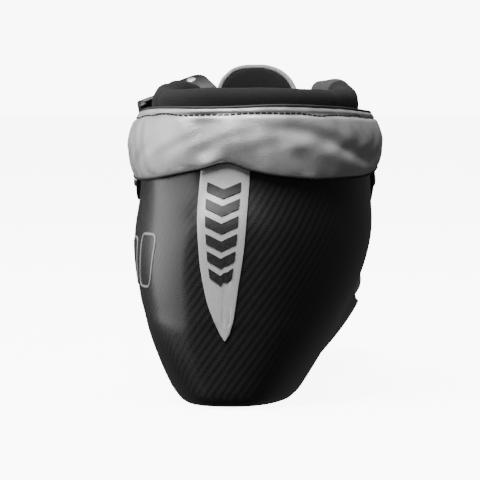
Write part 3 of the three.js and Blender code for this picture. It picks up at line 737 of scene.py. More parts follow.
@dataclass(frozen=True)
class Finish:
    """A finish: its colours, its shine and its pattern."""

    name: str
    effect: Effect
    dark: float
    light: float
    roughness: float
    warm: float = 0.0
    metallic: float = 0.0
    coat: float = 0.0
    sheen: float = 0.0
    scale: float = 0.0015
    depth: float = 0.3
    where: Where = Where.OBJECT

    def material(self) -> bpy.types.Material:
        """Builds the material, or returns it if it has been built."""
        if self.name in bpy.data.materials:
            return bpy.data.materials[self.name]
        made = bpy.data.materials.new(self.name)
        made.use_nodes = True
        tree = made.node_tree
        g = Graph(tree)
        shader = tree.nodes["Principled BSDF"]
        place = g.node("ShaderNodeTexCoord").outputs[self.where.value]
        amount, height, distance = self.pattern(g, place)
        dust = g.node("ShaderNodeGroup", {"Vector": place}, node_tree=GROUPS.dust).outputs["Mask"]
        colour = g.blend(amount, grey(self.dark, self.warm), grey(self.light, self.warm))
        pale = grey(min(1.0, self.light * 1.25 + 0.02), self.warm)
        dusty = g.blend(g.maths("MULTIPLY", dust, DUST_SHARE), colour, pale)
        uneven = g.maths("MULTIPLY", g.maths("SUBTRACT", amount, 0.5), ROUGH_SPREAD)
        rough = g.maths("ADD", g.maths("ADD", self.roughness, uneven), g.maths("MULTIPLY", dust, DUST_SHARE))
        bump_node = g.node("ShaderNodeBump", {"Height": height, "Strength": self.depth, "Distance": distance})
        tree.links.new(dusty, shader.inputs["Base Color"])
        tree.links.new(rough, shader.inputs["Roughness"])
        tree.links.new(bump_node.outputs[0], shader.inputs["Normal"])
        shader.inputs["Metallic"].default_value = self.metallic
        shader.inputs["Coat Weight"].default_value = self.coat
        shader.inputs["Coat Roughness"].default_value = COAT_ROUGHNESS
        shader.inputs["Sheen Weight"].default_value = self.sheen
        shader.inputs["Sheen Roughness"].default_value = SHEEN_ROUGHNESS
        return made

    def pattern(self, g: Graph, place: bpy.types.NodeSocket) -> tuple:
        """The pattern's mask, its height and the height's depth in metres.

        Args:
            g: the material's graph.
            place: the coordinates that the pattern follows.

        Returns:
            The mask's socket, the height's socket and the depth.
        """
        if self.effect is Effect.TWILL:
            turned = g.node("ShaderNodeMapping", {"Vector": place, "Rotation": (0, 0, TWILL_TURN)})
            cloth = g.node("ShaderNodeGroup", {"Vector": turned.outputs[0], "Tow": self.scale},
                           node_tree=GROUPS.twill)
            return cloth.outputs["Over"], cloth.outputs["Height"], self.scale * 0.12
        if self.effect is Effect.LEATHER:
            hide = g.node("ShaderNodeGroup", {"Vector": place, "Pebble": self.scale}, node_tree=GROUPS.grain)
            return hide.outputs["Shade"], hide.outputs["Height"], self.scale * 0.35
        if self.effect is Effect.KNIT:
            knit = g.node("ShaderNodeGroup", {"Vector": place, "Cell": self.scale}, node_tree=GROUPS.mesh)
            return g.ramp(knit.outputs[0], -0.6, 0.6), knit.outputs[0], self.scale * 0.3
        if self.effect is Effect.METAL:
            stretched = g.node("ShaderNodeMapping", {"Vector": place, "Scale": (1.0, 1.0, 0.08)})
            lines = g.node("ShaderNodeTexNoise", {"Vector": stretched.outputs[0], "Scale": 1 / self.scale,
                                                  "Detail": 4.0})
            return g.ramp(lines.outputs[0], 0.3, 0.7), lines.outputs[0], self.scale * 0.1
        if self.effect is Effect.FOAM:
            cells = g.node("ShaderNodeTexVoronoi", {"Vector": place, "Scale": 1 / self.scale})
            return g.ramp(cells.outputs["Distance"], 0.1, 0.7), cells.outputs["Distance"], self.scale * 0.4
        grains = g.node("ShaderNodeTexNoise", {"Vector": place, "Scale": 1 / self.scale, "Detail": 5.0})
        return g.ramp(grains.outputs[0], 0.35, 0.65), grains.outputs[0], self.scale * 0.15

    def put_on(self, piece: bpy.types.Object) -> None:
        """Makes this the piece's only material."""
        piece.data.materials.clear()
        piece.data.materials.append(self.material())


CARBON = Finish("carbon_twill", Effect.TWILL, 0.002, 0.0065, 0.4, coat=0.4, scale=0.0009,
                depth=0.22, where=Where.SURFACE)
CUT_EDGE = Finish("cut_carbon_edge", Effect.PLASTIC, 0.10, 0.16, 0.45, scale=0.0005, depth=0.2)
SILVER = Finish("silver_leather", Effect.LEATHER, 0.55, 0.64, 0.42, metallic=0.55, scale=0.0007, depth=0.35)
SHADOW_LEATHER = Finish("dark_leather", Effect.LEATHER, 0.012, 0.02, 0.5, scale=0.0008, depth=0.4)
COLLAR_KNIT = Finish("black_knit", Effect.KNIT, 0.0015, 0.004, 0.95, scale=0.0006, depth=0.35,
                     where=Where.SURFACE)
# painted shade: silver leather at the collar's inner front end, which lies in shade, coloured as a dark grey
# instead of silver
PAINTED_SHADE_SILVER = Finish("silver_leather_painted_shade", Effect.KNIT, 0.03, 0.045, 0.85, sheen=0.15, scale=0.0007, depth=0.4,
                   where=Where.SURFACE)
LINING_KNIT = Finish("lining_knit", Effect.KNIT, 0.012, 0.022, 0.9, sheen=0.2, scale=0.0018, depth=0.5,
                     where=Where.SURFACE)
SILVER_FILM = Finish("silver_film", Effect.PLASTIC, 0.50, 0.54, 0.34, metallic=0.25, coat=0.2, scale=0.0009,
                     depth=0.12)
PALE_PRINT = Finish("pale_print", Effect.PLASTIC, 0.30, 0.34, 0.4, metallic=0.2, scale=0.0008, depth=0.1)
DARK_PRINT = Finish("dark_print", Effect.PLASTIC, 0.012, 0.02, 0.4, coat=0.2, scale=0.0008, depth=0.1)
MATT_PLASTIC = Finish("matt_plastic", Effect.PLASTIC, 0.008, 0.014, 0.48, scale=0.0006, depth=0.25)
STEEL = Finish("brushed_steel", Effect.METAL, 0.5, 0.6, 0.3, metallic=1.0, scale=0.0006, depth=0.15)
GUNMETAL = Finish("gunmetal", Effect.METAL, 0.05, 0.08, 0.4, metallic=1.0, scale=0.0006, depth=0.15)
ALLOY = Finish("satin_alloy", Effect.METAL, 0.45, 0.55, 0.36, metallic=1.0, scale=0.0006, depth=0.15)
THREAD = Finish("stitching_thread", Effect.KNIT, 0.008, 0.02, 0.8, sheen=0.1, scale=0.0006, depth=0.4)
PALE_THREAD = Finish("pale_thread", Effect.KNIT, 0.22, 0.3, 0.75, sheen=0.3, scale=0.0006, depth=0.4)
LACE_WEAVE = Finish("lace_weave", Effect.KNIT, 0.014, 0.04, 0.8, sheen=0.3, scale=0.0011, depth=0.8,
                    where=Where.SURFACE)
FOAM = Finish("pad_foam", Effect.FOAM, 0.04, 0.06, 0.95, scale=0.0009, depth=0.6)
BOARD = Finish("toe_board", Effect.PLASTIC, 0.20, 0.26, 0.85, warm=0.12, scale=0.0009, depth=0.4)
FOOTBED_CLOTH = Finish("footbed_cloth", Effect.KNIT, 0.05, 0.08, 0.9, sheen=0.3, scale=0.0016, depth=0.5,
                       where=Where.SURFACE)


# ---------------------------------------------------------------- laying pieces on the surface
def spread(rows: int, columns: int) -> tuple[Array, Array]:
    """Row and column shares, 0 to 1, for a grid of points."""
    return np.meshgrid(np.linspace(0, 1, rows + 1), np.linspace(0, 1, columns + 1), indexing="ij")


def layer_points(t0: Value, t1: Value, v0: Curve, v1: Curve, i: Array, j: Array,
                 distance: Callable[[Array, Array], Array]) -> Array:
    """Points of a piece of the upper, in metres.

    Args:
        t0: its first ring, or a function of the angle.
        t1: its last ring, or a function of the angle.
        v0: its first angle as a function of the ring.
        v1: its last angle as a function of the ring.
        i: row shares.
        j: column shares.
        distance: how far off the surface it lies, from ring and angle.

    Returns:
        The points, rows by columns.
    """
    t, v = np.zeros_like(i), np.zeros_like(i)
    for _ in range(6):
        first = t0(v) if callable(t0) else t0
        last = t1(v) if callable(t1) else t1
        t = mix(first, last, i)
        v = mix(v0(t), v1(t), j)
    return SKIN.world(SKIN.skin(t, v, distance(t, v)))


def rolled(name: str, section: Callable[[Array, Array, Array], Array], along: int,
           around: int) -> bpy.types.Object:
    """A closed roll: a round section carried along, shrinking to a point at both ends.

    Args:
        name: the piece's name.
        section: gives points in metres from the share along and the section's cosine and sine.
        along: how many steps along.
        around: how many steps round the section.

    Returns:
        The piece.
    """
    i, j = spread(along, around)
    angle = j * 2 * math.pi
    piece = grid_piece(name, section(i, np.cos(angle), np.sin(angle)), closed=True)
    edit(piece, lambda: bpy.ops.mesh.normals_make_consistent(inside=False))
    smooth(piece, 60)
    return piece


def stitches(name: str, path: Array, step: float, length: float, radius: float) -> bpy.types.Object:
    """A row of stitches along a path that lies on the boot.

    Args:
        name: the piece's name.
        path: points in millimetres on the surface that the thread lies on.
        step: from one stitch to the next, in millimetres.
        length: of a stitch, in millimetres.
        radius: of the thread, in millimetres.

    Returns:
        All the stitches as one piece.
    """
    at = np.arange(step / 2, run_along(path)[-1], step)
    spots, ahead = points_at(path, at), points_at(path, at + 0.3)
    normals = SKIN.normal(spots)
    deselect()
    bpy.ops.mesh.primitive_cylinder_add(vertices=8, radius=radius * MM, depth=length * MM,
                                        rotation=(0, math.pi / 2, 0))
    seed = added(name + "_seed")
    settle(seed)
    bevel(seed, radius * 0.6, 2)
    places = [frame_at(p, n, a - s) for p, n, a, s in zip(SKIN.world(spots), normals, ahead, spots)]
    return scatter(name, seed, places)


def joined(name: str, parts: Sequence[bpy.types.Object]) -> bpy.types.Object:
    """Joins pieces into one.

    Args:
        name: the joined piece's name.
        parts: the pieces, which are used up.

    Returns:
        The joined piece.
    """
    hold(parts[0])
    for part in parts:
        part.select_set(True)
    bpy.ops.object.join()
    piece = bpy.context.object
    piece.name = name
    return piece


def place_on(piece: bpy.types.Object, body: str, finish: Finish,
             replaces: Sequence[str] = ()) -> None:
    """Dresses a piece, hangs it on a body and hides the frame's solids that it stands for.

    Args:
        piece: the piece.
        body: the body it moves with.
        finish: its finish.
        replaces: the names of the frame's solids that it stands for.
    """
    finish.put_on(piece)
    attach(piece, body)
    if replaces:
        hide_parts(*replaces)
    LOG.info("%s: %d faces", piece.name, len(piece.data.polygons))


BOOT = "boot"
SIDES = (("outer", 1.0), ("inner", -1.0))
UPPER_OFF = -3.1  # how far off the outside surface the upper's own surface lies


def lining_off(t: Array) -> Array:
    """How far off the surface the lining lies: further in where the ankle pads are."""
    return mix(-5.2, -10.9, smoothstep(1.15, 1.7, t))


# ---------------------------------------------------------------- shell
@dataclass
class Shell:
    """The carbon shell and what is on it. Sizes in millimetres."""

    wall: float = 2.2
    around: int = 240
    up: int = 56
    spine_height: float = 26.0
    spine_heel: float = 46.0
    spine_toe: float = 226.0
    spine_ends: float = 0.22
    edge_radius: float = 0.75
    outline_radius: float = 0.55
    outline_square: float = 0.35
    outline_lean: float = 0.004
    # each outline's middle angle, half its angle, its bottom and its top
    outline_places: tuple[tuple[float, float, float, float], ...] = (
        (2.42, 0.12, 43.0, 63.0), (2.04, 0.13, 43.5, 61.0), (1.66, 0.15, 44.0, 59.0))

    def __post_init__(self) -> None:
        """Sets the rim's curve: its height by reach."""
        self.rim = through((0, 93), (74, 90), (100, 74), (128, 50), (160, 35), (200, 26), (282, 24))

    def rays(self, k: Array) -> tuple[Array, Array]:
        """First points and level directions of rays number k, from the heel round by the outer side.

        Args:
            k: the rays' numbers, 0 to 1 for a whole turn.

        Returns:
            The first points and the directions.
        """
        turn = (k % 1) * 2
        side = np.where(turn < 1, 1.0, -1.0)
        way = np.where(turn < 1, turn, 2 - turn)
        ends = self.spine_ends
        heel_turn = np.clip(way / ends, 0, 1) * math.pi / 2
        toe_turn = np.clip((1 - way) / ends, 0, 1) * math.pi / 2
        reach = mix(self.spine_heel, self.spine_toe, np.clip((way - ends) / (1 - 2 * ends), 0, 1))
        x = side * np.where(way < 0.5, np.sin(heel_turn), np.sin(toe_turn))
        y = np.where(way < 0.5, np.cos(heel_turn), -np.cos(toe_turn))
        start = np.stack([np.zeros_like(k), SKIN.heel_y - reach, np.full_like(k, self.spine_height)], -1)
        return start, np.stack([x, y, np.zeros_like(k)], -1)

    def towards(self, k: Array, angle: Array) -> Array:
        """Where the ray number k, tilted up by an angle, meets the surface.

        Args:
            k: the ray's number.
            angle: its tilt in radians.

        Returns:
            The points in millimetres.
        """
        start, level = self.rays(k)
        way = level * np.cos(angle)[..., None]
        way[..., 2] = np.sin(angle)
        return SKIN.meet(start, way)

    def rim_angle(self, k: Array) -> Array:
        """How far up ray number k tilts to reach the rim.

        Args:
            k: the ray's number.

        Returns:
            The tilt in radians.
        """
        low, high = np.full_like(k, -0.2), np.full_like(k, 1.35)
        for _ in range(18):
            half = (low + high) / 2
            p = self.towards(k, half)
            under = p[..., 2] < self.rim(SKIN.heel_y - p[..., 1])
            low, high = np.where(under, half, low), np.where(under, high, half)
        return low

    def points(self, k: Array, h: Array) -> Array:
        """Points on the shell, h from the sole's middle line (0) to the rim (1)."""
        top = self.rim_angle(k[0])[None, :]
        return self.towards(k, mix(-math.pi / 2, top, h))

    def build(self) -> None:
        """Makes the shell, its cut edge and the outlines on its outer side."""
        h, k = spread(self.up, self.around)
        points = self.points(k, h)
        shell = grid_piece("shell", SKIN.world(points), closed=True)
        self.lay_cloth(shell, points)
        wall(shell, self.wall, 0.4)
        place_on(shell, BOOT, CARBON, ["carbon_shell"])
        rim = SKIN.off(points[-1, :-1], -self.wall / 2)
        edge = tube_mesh("shell_cut_edge", SKIN.world(rim), self.edge_radius * MM, 8, closed=True,
                         flat=1.45, up=SKIN.normal(points[-1, :-1]))
        place_on(edge, BOOT, CUT_EDGE)
        self.outlines()

    def lay_cloth(self, piece: bpy.types.Object, points: Array) -> None:
        """Gives the shell a UV map in metres that runs round it and up it, level with the ground.

        Args:
            piece: the shell, one layer thick.
            points: the grid of points that it was made from.
        """
        mesh = piece.data
        place = np.empty(len(mesh.vertices) * 3)
        mesh.vertices.foreach_get("co", place)
        place = place.reshape(-1, 3)
        index = np.empty(len(mesh.loops), int)
        mesh.loops.foreach_get("vertex_index", index)
        waist = points[self.up * 2 // 3]
        run = run_along(waist) * MM
        uv = np.empty(len(mesh.loops) * 2)
        mesh.uv_layers.active.data.foreach_get("uv", uv)
        uv = uv.reshape(-1, 2)
        measured = mean_run(points, 1) * MM
        column = np.rint(np.interp(uv[:, 0], measured, np.arange(len(measured)))).astype(int)
        uv[:, 0] = run[column]
        under = np.clip(0.004 - place[index, 2], 0, 1)
        inwards = np.abs(place[index, 0]) * (under > 0.0005)
        uv[:, 1] = place[index, 2] + inwards
        mesh.uv_layers.active.data.foreach_set("uv", uv.ravel())

    def outlines(self) -> None:
        """Three rounded outlines, one behind another, on the outer side of the heel."""
        marks = []
        a = np.linspace(0, 2 * math.pi, 73)[:-1]
        for number, (v, half, low, high) in enumerate(self.outline_places):
            z = (low + high) / 2 + (high - low) / 2 * power(np.sin(a), self.outline_square)
            turn = v + half * power(np.cos(a), self.outline_square) + (z - 52) * self.outline_lean
            path = level(turn, z)
            marks.append(tube_mesh(f"outline_{number}", SKIN.world(SKIN.off(path, 0.12)),
                                   self.outline_radius * MM, 8, closed=True, flat=0.4, up=SKIN.normal(path)))
        place_on(joined("side_outlines", marks), BOOT, PALE_PRINT)


def level(v: Array, z: Array) -> Array:
    """Points on the surface at height z, at an angle round the ankle's middle from its front.

    Args:
        v: the angle in radians.
        z: the height in millimetres.

    Returns:
        The points in millimetres.
    """
    v, z = np.broadcast_arrays(np.asarray(v, float), np.asarray(z, float))
    start = np.stack([np.full_like(z, -4.5), np.full_like(z, SKIN.heel_y - SKIN.centre_reach), z], -1)
    way = np.stack([np.sin(v), -np.cos(v), np.zeros_like(v)], -1)
    return SKIN.meet(start, way)


def behind(x: Array, z: Array, distance: Value = 0.0) -> Array:
    """Points on the back of the heel, straight behind (x, z), and off the surface.

    Args:
        x: millimetres towards the outer side.
        z: the height in millimetres.
        distance: how far off the surface the points lie.

    Returns:
        The points in millimetres.
    """
    x, z = np.broadcast_arrays(np.asarray(x, float), np.asarray(z, float))
    start = np.stack([x, np.full_like(x, SKIN.heel_y - 60), z], -1)
    way = np.zeros_like(start)
    way[..., 1] = 1.0
    return SKIN.off(SKIN.meet(start, way), distance)


@dataclass
class HeelStripe:
    """The tapered stripe down the heel with its dark marks. Sizes in millimetres."""

    low: float = 24.5
    high: float = 91.0
    rows: int = 60
    bars: int = 6
    first: float = 76.5
    pitch: float = 6.3
    bar_height: float = 3.7
    slope: float = 2.8
    margin: float = 3.0
    bar_lift: float = 1.4

    def __post_init__(self) -> None:
        """Sets the stripe's two edges: their x by height."""
        self.outer = through((24.5, 0.6), (26, 1.7), (32, 4.4), (40, 7.3), (55, 9.9), (70, 10.7), (85, 9.9),
                             (91, 9.4))
        self.inner = through((24.5, 0.3), (26, -0.7), (31, -2.2), (44, -4.3), (59, -6.5), (76, -7.7),
                             (86, -8.2), (91, -8.2))

    def build(self) -> None:
        """Makes the stripe and the marks."""
        i, j = spread(self.rows, 16)
        z = mix(self.low, self.high, i)
        x = mix(self.outer(z), self.inner(z), j)
        lift = 0.8 + 0.2 * tapered(j, 2)
        stripe = grid_piece("stripe", SKIN.world(behind(x, z, lift)))
        wall(stripe, 0.7, 0.2)
        place_on(stripe, BOOT, SILVER_FILM, ["heel_stripe"])
        marks = [self.bar(number) for number in range(self.bars)]
        place_on(joined("stripe_marks", marks), BOOT, DARK_PRINT)

    def bar(self, number: int) -> bpy.types.Object:
        """A chevron bar that points down.

        Args:
            number: its place in the row, 0 at the top.

        Returns:
            The bar.
        """
        i, j = spread(4, 24)
        z = self.first - self.pitch * number + self.bar_height * i + self.slope * np.abs(2 * j - 1)
        x = mix(self.outer(z) - self.margin, self.inner(z) + self.margin, j)
        bar = grid_piece(f"bar_{number}", SKIN.world(behind(x, z, self.bar_lift)))
        wall(bar, 0.3)
        return bar


# ---------------------------------------------------------------- cuff and collar
@dataclass
class AnkleCuff:
    """The padded silver cuff round the ankle. Sizes in millimetres, angles from the front."""

    end: float = 1.3
    hem: float = 1.5
    belly: float = 4.7
    least: float = 1.35
    wall: float = 1.1
    stitch_line: float = 0.885
    seam_angle: float = 1.78
    rows: int = 44
    columns: int = 260

    def __post_init__(self) -> None:
        """Sets the curves of its two edges, by angle from straight behind."""
        self.low = through((-1.9, 86), (-1.35, 84.6), (-0.9, 83.6), (-0.62, 84.3), (-0.24, 88.0),
                           (-0.08, 90.6), (0.06, 87.8), (0.24, 85.5), (0.5, 84.2), (0.9, 84.6), (1.4, 87),
                           (1.9, 88))
        self.high = through((-1.9, 108), (-1.2, 108.4), (-0.5, 110.6), (-0.1, 110.9), (0.2, 111.6),
                            (0.6, 110.6), (1.2, 108.6), (1.9, 108))

    def stand(self, h: Array, v: Array) -> Array:
        """How far the cuff stands off the boot, by height share and angle from straight behind.

        Args:
            h: 0 at the lower edge and 1 at the upper.
            v: the angle, below zero on the outer side.

        Returns:
            The distance in millimetres.
        """
        bulge = np.sin(math.pi * np.clip(h * 0.96 + 0.03, 0, 1)) ** 0.45
        body = self.hem + (self.belly - self.hem) * bulge
        body -= 0.8 * bump(self.stitch_line, 0.035, h)
        valley = bump(-0.2 - 0.05 * (h - 0.5), 0.07, v) * smoothstep(0.02, 0.3, h) * smoothstep(1.0, 0.7, h)
        puff = bump(-0.04, 0.11, v) * bump(0.42, 0.28, h)
        fold_line = 0.62 - 0.32 * smoothstep(0.15, 1.2, v) + 0.05 * np.sin(5 * v)
        fold = bump(0.0, 0.1, h - fold_line) * smoothstep(0.1, 0.3, v) * smoothstep(1.45, 0.9, v)
        under = bump(0.0, 0.12, h - fold_line + 0.2) * smoothstep(0.1, 0.4, v) * smoothstep(1.5, 0.9, v)
        second = bump(0.36, 0.05, v + 0.25 * (h - 0.3)) * bump(0.25, 0.2, h)
        outer = bump(-0.75, 0.07, v - 0.2 * (h - 0.5)) * bump(0.3, 0.25, h)
        ripple = 0.16 * np.sin(23 * v + 3 * np.sin(7 * h)) * np.sin(math.pi * h)
        ripple = ripple + 0.12 * np.sin(41 * v + 5 * h)
        edge = smoothstep(0.0, 0.1, h) * smoothstep(1.0, 0.95, h)
        folds = -1.8 * valley + 1.0 * puff - 1.1 * fold + 0.5 * under - 0.6 * second - 0.6 * outer
        return np.maximum(body + (folds + ripple * edge) * edge, self.least)

    def points(self, h: Array, v: Array, extra: Value = 0.0) -> Array:
        """Points of the cuff in millimetres."""
        z = mix(self.low(v), self.high(v), h)
        return SKIN.skin(SKIN.ring_at_height(z), math.pi + v, self.stand(h, v) + extra)

    def build(self) -> None:
        """Makes the cuff, its stitch line and the piping along both its edges."""
        h, j = spread(self.rows, self.columns)
        h = 0.5 - 0.5 * np.cos(math.pi * mix(0.02, 0.98, h))
        v = mix(-(math.pi - self.end), math.pi - self.end, j)
        cuff = grid_piece("cuff", SKIN.world(self.points(h, v)))
        wall(cuff, self.wall, 0.35)
        place_on(cuff, BOOT, SILVER, ["ankle_cuff"])
        run = np.linspace(-self.seam_angle, self.seam_angle, 900)
        wander = 0.012 * np.sin(9 * run) + 0.008 * np.sin(23 * run)
        seam = self.points(self.stitch_line + wander, run, 0.16)
        place_on(stitches("cuff_stitching", seam, 2.3, 1.95, 0.34), BOOT, THREAD)
        for edge, height, radius in (("lower", 0.0, 0.55), ("upper", 1.0, 0.6)):
            path = self.points(np.full_like(run, height), run)
            trim = tube_mesh(f"cuff_{edge}_piping", SKIN.world(path), radius * MM, 8)
            place_on(trim, BOOT, SHADOW_LEATHER)


@dataclass
class Collar:
    """The padded black roll round the top of the boot. Sizes in millimetres."""

    end: float = 0.62
    low: float = 107.0
    outer: float = -1.6
    inner: float = -12.0

    def top(self, v: Array) -> Array:
        """The collar's top by angle from the front: highest beside the tongue."""
        bumps = 1.4 * bump(1.12, 0.2, v) + 1.2 * bump(1.62, 0.16, v) + 1.5 * bump(5.2, 0.22, v)
        return 117.0 + 4.6 * (1 + np.cos(v)) / 2 + bumps

    def section(self, v: Array, c: Array, s: Array, size: Array) -> Array:
        """Points on the roll's section at angle v, in metres.

        Args:
            v: the angle round the ankle.
            c: the cosine round the section.
            s: the sine round the section.
            size: the section's size over its full size.

        Returns:
            The points.
        """
        pinch = 1 - 0.12 * bump(1.38, 0.05, v) - 0.10 * bump(2.35, 0.06, v) - 0.10 * bump(3.95, 0.06, v)
        top = self.top(v)
        mid, half = (top + self.low) / 2, (top - self.low) / 2
        z = mid + half * power(s, 0.8) * size * pinch
        centre, thick = (self.outer + self.inner) / 2, (self.outer - self.inner) / 2
        distance = centre + thick * power(c, 0.9) * size * pinch
        return SKIN.world(SKIN.skin(SKIN.ring_at_height(z), v, distance))

    def stretch(self, name: str, start: float, stop: float, steps: int, size: float,
                ends: int) -> bpy.types.Object:
        """A stretch of the roll between two angles, by its relative size and how blunt its ends are.

        Args:
            name: the piece's name.
            start: its first angle.
            stop: its last angle.
            steps: how many steps along.
            size: its section over the roll's.
            ends: a power; the larger it is, the blunter its ends.

        Returns:
            The piece.
        """
        def section(i: Array, c: Array, s: Array) -> Array:
            """Points on the stretch's section."""
            return self.section(mix(start, stop, i), c, s, size * tapered(i, ends))

        return rolled(name, section, steps, 36)

    def build(self) -> None:
        """Makes the roll and the facing on its inner front end: silver leather that lies in shade there,
        coloured dark grey as painted shade.
        """
        turn = 2 * math.pi
        roll = self.stretch("collar", self.end, turn - self.end, 260, 1.0, 26)
        place_on(roll, BOOT, COLLAR_KNIT, ["collar_roll"])
        # painted shade: this facing is silver leather in shade, given a dark grey colour
        patch = self.stretch("collar_facing", turn - 1.22, turn - 0.7, 40, 1.05, 16)
        place_on(patch, BOOT, PAINTED_SHADE_SILVER)


# ---------------------------------------------------------------- upper
def toe_join(v: Array) -> Array:
    """The ring where the toe box meets the side panels, by angle."""
    return 0.58 + np.where(v < 0, 0.30, 0.22) * smoothstep(0.4, 1.05, np.abs(v))


def ring_of_shell(t: Array) -> Array:
    """How far round the upper goes inside the shell, by ring."""
    return through((0.02, 1.75), (0.5, 1.85), (1, 2.0), (1.5, 2.0), (2, 2.0), (2.55, 2.2), (3, 2.2))(t)


@dataclass
class Upper:
    """Toe box, side panels, eyestays, lining and tongue. Sizes in millimetres."""

    wall: float = 1.4
    swell: float = 2.6
    swell_end: float = 0.84
    panel_end: float = 2.6
    stay_width: float = 13.0
    stay_thick: float = 1.9
    stay_lift: float = 2.1
    lining_wall: float = 1.2
    tongue_half: float = 25.0
    tongue_end: float = 2.94
    tongue_round: float = 2.62
    tongue_off: float = -9.0
    tongue_thick: float = 4.0

    def build(self) -> None:
        """Makes all of the upper."""
        self.toe_box()
        for side, sign in SIDES:
            self.side_panel(side, sign)
            self.eyestay(side, sign)
        self.lining()
        self.tongue()

    def toe_box(self) -> None:
        """The silver toe box with its two rows of stitches."""
        def lift(t: Array, v: Array) -> Array:
            """Its distance off the surface."""
            share = np.abs(v) / ring_of_shell(t)
            where = smoothstep(0.28, 0.5, share) * smoothstep(0.92, 0.74, share)
            where = where * smoothstep(0.05, 0.25, t) * smoothstep(self.swell_end, self.swell_end - 0.12, t)
            crease = 0.35 * bump(0.0, 0.02, t - 0.42 - 0.05 * np.cos(2 * v)) * smoothstep(1.3, 0.6, np.abs(v))
            return UPPER_OFF + self.swell * where - crease

        i, j = spread(110, 120)
        box = grid_piece("toe_cap", layer_points(0.0, toe_join, lambda t: -ring_of_shell(t), ring_of_shell,
                                                 i ** 2, j, lift))
        wall(box, self.wall, 0.4)
        place_on(box, BOOT, SILVER, ["toe_box"])
        rows = []
        for inset in (0.014, 0.03):
            v = np.linspace(-1.7, 1.6, 600)
            t = toe_join(v) - inset
            rows.append(stitches(f"toe_row_{inset}", SKIN.skin(t, v, lift(t, v) + 0.12), 2.4, 1.8, 0.26))
        place_on(joined("toe_stitching", rows), BOOT, THREAD)

    def side_panel(self, side: str, sign: float) -> None:
        """One dark side panel.

        Args:
            side: "outer" or "inner".
            sign: 1 on the outer side and -1 on the inner.
        """
        i, j = spread(110, 80)
        panel = grid_piece(f"{side}_panel", layer_points(
            lambda v: toe_join(v) - 0.03, self.panel_end, lambda t: sign * SKIN.throat_angle(t),
            lambda t: sign * ring_of_shell(t), i, j,
            lambda t, v: UPPER_OFF - 0.7 * smoothstep(0.03, 0.0, t - toe_join(v))))
        wall(panel, self.wall, 0.4)
        place_on(panel, BOOT, SHADOW_LEATHER, [f"{side}_side_panel"])

    def eyestay(self, side: str, sign: float) -> None:
        """The reinforcement along one edge of the throat, stitched down both its long edges.

        Args:
            side: "outer" or "inner".
            sign: 1 on the outer side and -1 on the inner.
        """
        i, j = spread(110, 14)
        lift = UPPER_OFF + self.stay_lift
        stay = grid_piece(f"{side}_stay", layer_points(
            0.61, 2.3, lambda t: sign * SKIN.throat_angle(t, 0.5),
            lambda t: sign * SKIN.throat_angle(t, self.stay_width), i, j, lambda t, v: lift + 0 * t))
        wall(stay, self.stay_thick, 0.6)
        place_on(stay, BOOT, SHADOW_LEATHER, [f"{side}_eyestay"])
        t = np.concatenate([np.linspace(0.63, 1.0, 200), np.linspace(2.0, 2.28, 120)])
        rows = []
        for beyond in (1.9, self.stay_width - 1.6):
            path = SKIN.skin(t, sign * SKIN.throat_angle(t, beyond), lift + 0.1)
            rows.append(stitches(f"{side}_row_{beyond}", path, 2.2, 1.7, 0.24))
        place_on(joined(f"{side}_stay_stitching", rows), BOOT, PALE_THREAD)

    def lining(self) -> None:
        """The sock-like lining, open along the throat."""
        def edge(t: Array) -> Array:
            """The throat's edge of the lining."""
            return SKIN.throat_angle(t, self.stay_width + 4)

        def lift(t: Array, v: Array) -> Array:
            """Its distance off the surface, quilted round the ankle."""
            return lining_off(t) + 0.35 * np.sin(v * 16) * np.sin(t * 24) * smoothstep(1.6, 2.0, t)

        i, j = spread(90, 150)
        sock = grid_piece("sock_lining", layer_points(0.594, 2.66, edge, lambda t: 2 * math.pi - edge(t),
                                                      i, j, lift))
        wall(sock, self.lining_wall, 0.3)
        place_on(sock, BOOT, LINING_KNIT, ["lining"])

    def tongue_side(self, t: Array) -> Array:
        """The tongue's half-angle on ring t."""
        top = np.clip((t - self.tongue_round) / (self.tongue_end - self.tongue_round), 0, 0.999)
        width = np.sqrt(1 - top ** 2) * mix(0.72, 1.0, smoothstep(0.6, 1.3, t))
        return SKIN.side_angle(t, self.tongue_half * width)

    def tongue(self) -> None:
        """The padded tongue with its quilting and its piped edge."""
        def body(i: Array, c: Array, s: Array) -> Array:
            """Points on the tongue's section."""
            t = mix(0.6, self.tongue_end, i)
            size = tapered(i, 30)
            v = self.tongue_side(t) * power(c, 0.6) * size
            quilt = 0.3 * np.cos(t * 60) * smoothstep(2.3, 2.1, t)
            half = self.tongue_thick / 2 + np.where(s > 0, quilt, 0.0)
            distance = self.tongue_off - self.tongue_thick / 2 + half * power(s, 0.8) * size
            return SKIN.world(SKIN.skin(t, v, distance))

        tongue = rolled("padded_tongue", body, 220, 40)
        place_on(tongue, BOOT, COLLAR_KNIT, ["tongue"])
        up = mix(2.2, self.tongue_end - 0.004, np.sin(np.linspace(0, math.pi / 2, 120)))
        t = np.concatenate([up, up[::-1][1:]])
        v = self.tongue_side(t) * np.concatenate([np.ones(120), -np.ones(119)]) * 1.01
        path = SKIN.skin(t, v, self.tongue_off - self.tongue_thick / 2)
        piping = tube_mesh("tongue_piping", SKIN.world(path), 1.0 * MM, 10)
        place_on(piping, BOOT, PALE_THREAD)


